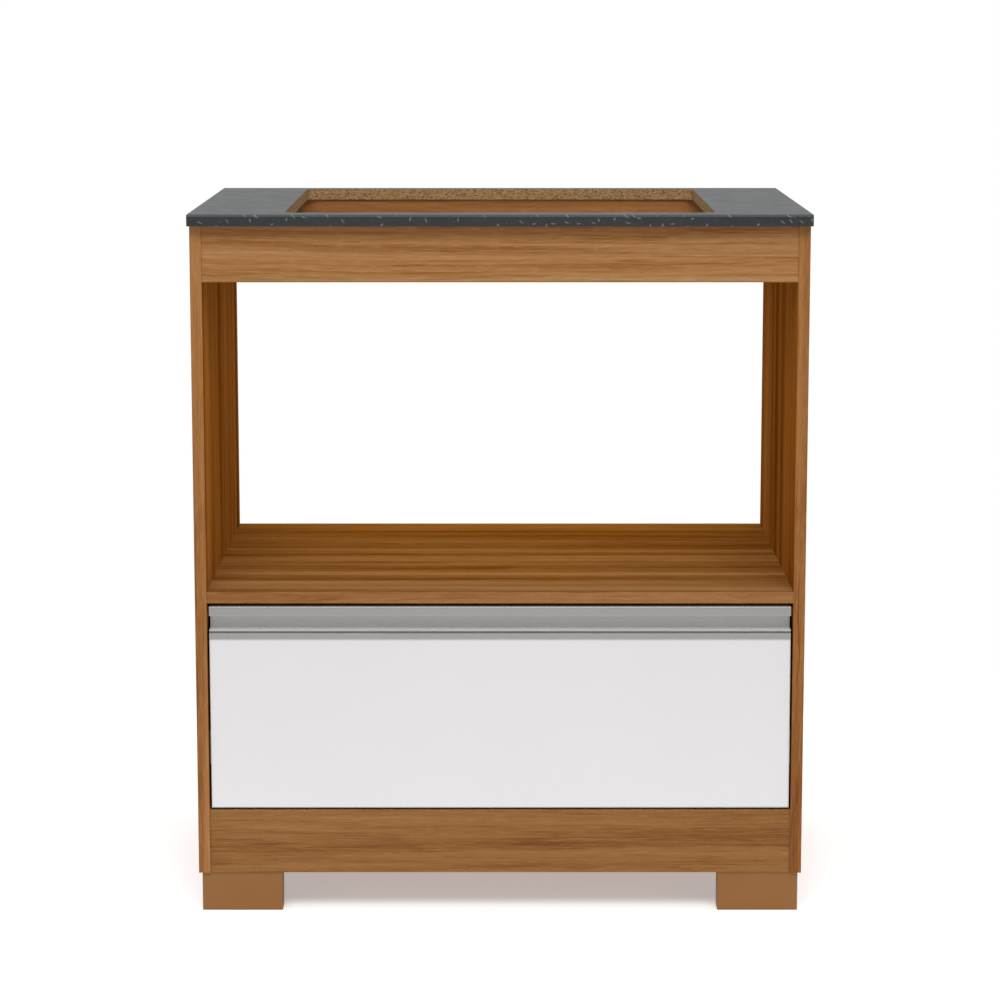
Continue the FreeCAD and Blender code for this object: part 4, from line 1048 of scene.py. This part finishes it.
def sink_cross(shape, ring, top, arm, half, depth):
    """Joins a ring of 24 to a sunk cross inside it."""
    rim, low = [], []
    for quarter in range(4):
        a = quarter * math.pi / 2
        for x, y in ((arm, -half), (arm, half), (half, half)):
            spot = (x * math.cos(a) - y * math.sin(a), x * math.sin(a) + y * math.cos(a))
            rim.append(shape.verts.new((*spot, top)))
            low.append(shape.verts.new((spot[0] * 0.7, spot[1] * 0.7, top - depth)))
    floor = shape.verts.new((0, 0, top - depth * 1.25))
    for quarter in range(4):
        near = [ring[(6 * quarter + step - 1) % 24] for step in range(7)]
        left, right, inner = rim[3 * quarter:3 * quarter + 3]
        after = rim[(3 * quarter + 3) % 12]
        shape.faces.new([left, near[0], near[1], right])
        shape.faces.new([right, near[1], near[2], near[3], inner])
        shape.faces.new([inner, near[3], near[4]])
        shape.faces.new([inner, near[4], near[5], near[6], after])
    for i in range(12):
        j = (i + 1) % 12
        shape.faces.new([rim[i], rim[j], low[j], low[i]])
        shape.faces.new([low[i], low[j], floor])


def screw_model(name, head, head_height, shank, length, flat=False):
    cross = (0.62 * head, 0.13 * head, 0.75 * min(head_height, head))
    if flat:
        neck = -head_height - (head - shank)
        outline = [(0.80 * head, 0), (0.97 * head, 0), (head, -0.04 * head)]
    else:
        neck = -head_height
        outline = [(0.72 * head, 0), (0.88 * head, -0.16 * head_height), (0.97 * head, -0.45 * head_height),
                   (head, -0.75 * head_height), (0.98 * head, -head_height)]
    outline += [(shank, neck), (shank, 1.6 * shank - length), (0.0, -length)]
    return turned(name, outline, 24, cross)


model = screw_model("trial", 3.5 * MM, 2.2 * MM, 1.75 * MM, 16 * MM)
print("a pan screw has", len(model.data.polygons), "faces")
bpy.data.objects.remove(model)

# %% [markdown]
# From here a kind of fastener needs three things: where the CAD has it, what it looks like, and what
# it is made of. The screws of the feet, brackets, slides and handle all have round heads.

# %% Set the fasteners
def fasten(node, model_of, finish, slot, seed, **where):
    """Replaces a node of fasteners by copies of one model."""
    spots, ways, sizes = measured(node, **where)
    model = model_of(sizes)
    mesh = bpy.data.meshes.new(node + "_places")
    mesh.from_pydata(spots, [], [])
    aims = mesh.attributes.new("way", "FLOAT_VECTOR", "POINT")
    aims.data.foreach_set("vector", [n for way in ways for n in way])
    piece = grow(node + "_set", mesh, fasteners, Fastener=model, Most_turn=math.tau, Seed=seed,
                 Finish=finish)
    bpy.data.objects.remove(model)
    settle(piece, node)


def pan_screw(sizes):
    return screw_model("pan_screw", **sizes)


for seed, node in enumerate(("foot_screws", "worktop_bracket_screws", "slide_screws_cabinet",
                             "slide_screws_drawer", "handle_screws")):
    fasten(node, pan_screw, zinc_steel, "zinc_steel", seed)

# %% [markdown]
# Nails have a thin flat head. The caps that hide the cam fittings are pressed plastic discs with a
# soft rim, and stand 1 mm proud of the board. The rivets of the slide levers are short pins with two
# heads. The balls of the slides are a plain turned arc.

# %% Nails, caps, rivets and balls
def nail(sizes):
    head, high, shank, length = (sizes[name] for name in ("head", "head_height", "shank", "length"))
    return turned("nail", [(0, 0), (0.8 * head, 0), (head, -0.35 * high), (head, -0.9 * high),
                           (shank, -high), (shank, 2 * shank - length), (0, -length)], 12)


def cap(sizes):
    head, high = sizes["head"], sizes["length"]
    return turned("cap", [(0, 0), (0.55 * head, -0.02 * high), (0.86 * head, -0.08 * high),
                          (0.95 * head, -0.25 * high), (head, -0.6 * high), (head, -high), (0, -high)], 32)


def rivet(sizes):
    head, length = sizes["head"], sizes["length"]
    high, shank = 0.2 * length, 0.62 * head
    return turned("rivet", [(0, 0), (0.6 * head, -0.1 * high), (0.9 * head, -0.45 * high), (head, -high),
                            (shank, -high), (shank, high - length), (head, high - length), (head, -length),
                            (0, -length)], 20)


def ball(sizes):
    radius = sizes["length"] / 2
    angles = [math.pi * step / 8 for step in range(1, 8)]
    arc = [(radius * math.sin(a), radius * (math.cos(a) - 1)) for a in angles]
    return turned("ball", [(0, 0), *arc, (0, -2 * radius)], 14)


def flat_screw(sizes):
    return screw_model("flat_screw", flat=True, **sizes)


fasten("back_panel_nails", nail, zinc_steel, "zinc_steel", 11)
fasten("drawer_bottom_nails", nail, zinc_steel, "zinc_steel", 12)
fasten("drawer_back_screws", flat_screw, zinc_steel, "zinc_steel", 13)
fasten("cam_covers", cap, cover_brown, "cover_plastic", 14, boards=list(board_prints))
fasten("drawer_cam_covers", cap, cover_white, "white_plastic", 15, boards=drawer_boards)
fasten("lever_rivets", rivet, zinc_steel, "zinc_steel", 16, axis=0)
for seed, where in enumerate(("outer_left", "outer_right", "inner_left", "inner_right"), start=17):
    fasten("balls_" + where, ball, ball_steel, "ball_steel", seed)

# %% [markdown]
# ## Slides and small metal parts
# The slides are pressed from zinc-plated strip, which was rolled along its length, so their lines run
# front to back. Sheared steel keeps a fine burr line, so a slide's edges are eased by only 0.15 mm. The
# brackets are plated sheet, the levers and buffers are mouldings with rounder corners.

# %% Slides, levers, buffers and brackets
def small_part(node, ending, finish, width):
    eased_piece(node, ending, [finish], width=width, shortest=6.0)


for side in ("left", "right"):
    for member in ("outer", "middle", "inner"):
        small_part(f"slide_{member}_{side}", "strip", rolled_steel, 0.15)
    small_part(f"slide_lever_{side}", "moulding", lever_plastic, 0.3)
small_part("slide_buffers", "block", buffer_rubber, 0.6)
small_part("worktop_brackets", "pressing", zinc_steel, 0.25)

# %% [markdown]
# The cam housings, their bolts and the dowels sit inside the boards, and the ball cages inside the
# slides. Their CAD shapes are already as fine as anyone can see, so they stay and are only painted:
# cast zinc for the housings, plated steel for the bolts, ribbed beech for the dowels.

# %% Finishes of the nodes that stay
STAY = {
    "cam_housings": cast_zinc, "drawer_cam_housings": cast_zinc, "cam_bolts": zinc_steel,
    "drawer_cam_bolts": zinc_steel, "dowels": dowel_beech, "drawer_dowels": dowel_beech,
    "ball_cage_outer_left": cage_steel, "ball_cage_outer_right": cage_steel,
    "ball_cage_inner_left": cage_steel, "ball_cage_inner_right": cage_steel,
}
for node, finish in STAY.items():
    for held in frame["nodes"][node].material_slots:
        held.material = finish
print("CAD nodes that stay", len(STAY))

# %% [markdown]
# ## Floor and light
# The cabinet stands on a plain pale floor. Seen from low down, an endless floor would draw a grey line
# where it meets the wall, so this one is a disc that fades out before its rim, as studio paper curves
# up behind the object. It also glows a little, like the milky sheet of a light table, so that it stays
# white beside the cabinet and the shadow between the feet stays light.

# %% Floor
FLOOR_RADIUS = 1.6
FADE_START = 0.7
FLOOR_DROP = 0.3 * MM
FLOOR_GLOW = 0.35


def make_floor():
    shape = bmesh.new()
    turn = [math.tau * step / 96 for step in range(96)]
    spots = [(FLOOR_RADIUS * math.cos(a), FLOOR_RADIUS * math.sin(a), -FLOOR_DROP) for a in turn]
    shape.faces.new([shape.verts.new(spot) for spot in spots])
    material, bench = new_bench("pale_floor")
    floor = stand("floor", mesh_from(shape, "floor", [material]))
    place = bench.place()
    cloud = bench.noise(place, 0.8, 2.0)
    shade = bench.blend(cloud, paint(250, 250, 250), paint(248, 248, 248))
    from_middle = bench.vector("LENGTH", bench.vector("MULTIPLY", place, (1, 1, 0)), out="Value")
    fade = bench.add("MapRange", {0: from_middle, 1: FADE_START, 2: 0.97 * FLOOR_RADIUS, 3: 1.0, 4: 0.0},
                     interpolation_type="SMOOTHSTEP")
    bench.finish(Base_Color=shade, Roughness=bench.spread(cloud, 0.85, 0.9), Specular_IOR_Level=0.1,
                 Emission_Color=(1, 1, 1, 1), Emission_Strength=FLOOR_GLOW, Alpha=fade)
    floor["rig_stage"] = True


make_floor()
print("floor radius in metres", FLOOR_RADIUS)

# %% [markdown]
# The light is that of a white studio. The walls glow a little less in front than behind, the ceiling
# more, and one wide lamp in front and above puts the short shadow under the worktop's edge and lets
# the niche fall off towards its back. The ground in front glows as well, because the satin handle
# mirrors it. The strengths were found by rendering each light alone and adding the pictures up until
# the boards, the drawer and the handle had their tones. The camera sees plain white all round.

# %% Light
FRONT_WALL, BACK_WALL, CEILING, LAMP = 0.48, 0.56, 0.45, 98
FRONT_FLOOR, BACK_FLOOR = 0.68, 0.05
LAMP_SPOT, LAMP_AIM, LAMP_SIZE = (0.0, -2.9, 3.6), (0, 0, 0.5), (3.4, 1.8)

lamp = bpy.data.lights.new("front_lamp", "AREA")
lamp.shape = "RECTANGLE"
lamp.size, lamp.size_y = LAMP_SIZE
lamp.energy = LAMP
held = stand("front_lamp", lamp)
held.location = LAMP_SPOT
held.rotation_euler = (Vector(LAMP_AIM) - Vector(LAMP_SPOT)).to_track_quat("-Z", "Y").to_euler()

sky = bpy.data.worlds.new("pale_room")
scene.world = sky
sky.use_nodes = True
room = Bench(sky.node_tree)
depth = room.add("SeparateXYZ", {0: room.add("TexCoord", {}, "Generated")}, "Y")
height = depth.node.outputs["Z"]
walls = room.add("MapRange", {0: depth, 1: -0.6, 2: 0.6, 3: FRONT_WALL, 4: BACK_WALL})
ground = room.add("MapRange", {0: depth, 1: -0.6, 2: 0.6, 3: FRONT_FLOOR, 4: BACK_FLOOR})
above = room.add("MapRange", {0: height, 1: -0.1, 2: 0.05})
level = room.add("Mix", {0: above, 2: ground, 3: walls}, data_type="FLOAT")
level = room.sum("ADD", level, room.add("MapRange", {0: height, 1: 0.55, 2: 0.9, 3: 0.0, 4: CEILING}))
seen = room.add("LightPath", {}, "Is Camera Ray")
level = room.add("Mix", {0: seen, 2: level, 3: 1.0}, data_type="FLOAT")
glow = room.add("Background", {"Color": (1, 1, 1, 1), "Strength": level})
room.add("OutputWorld", {"Surface": glow})
scene.view_settings.view_transform = "Standard"
scene.view_settings.look = "None"
print("lamp", LAMP, "W; walls", FRONT_WALL, BACK_WALL, "ground", FRONT_FLOOR, BACK_FLOOR)

# %% [markdown]
# ## Close
# How far the shown box has grown past the CAD's box is printed, because the looks must not change the size.

# %% Finish
low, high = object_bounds()
grown = [round((new - old) / MM, 2) for old, new in zip((*cad_low, *cad_high), (*low, *high))]
print("grown by", grown, "mm")
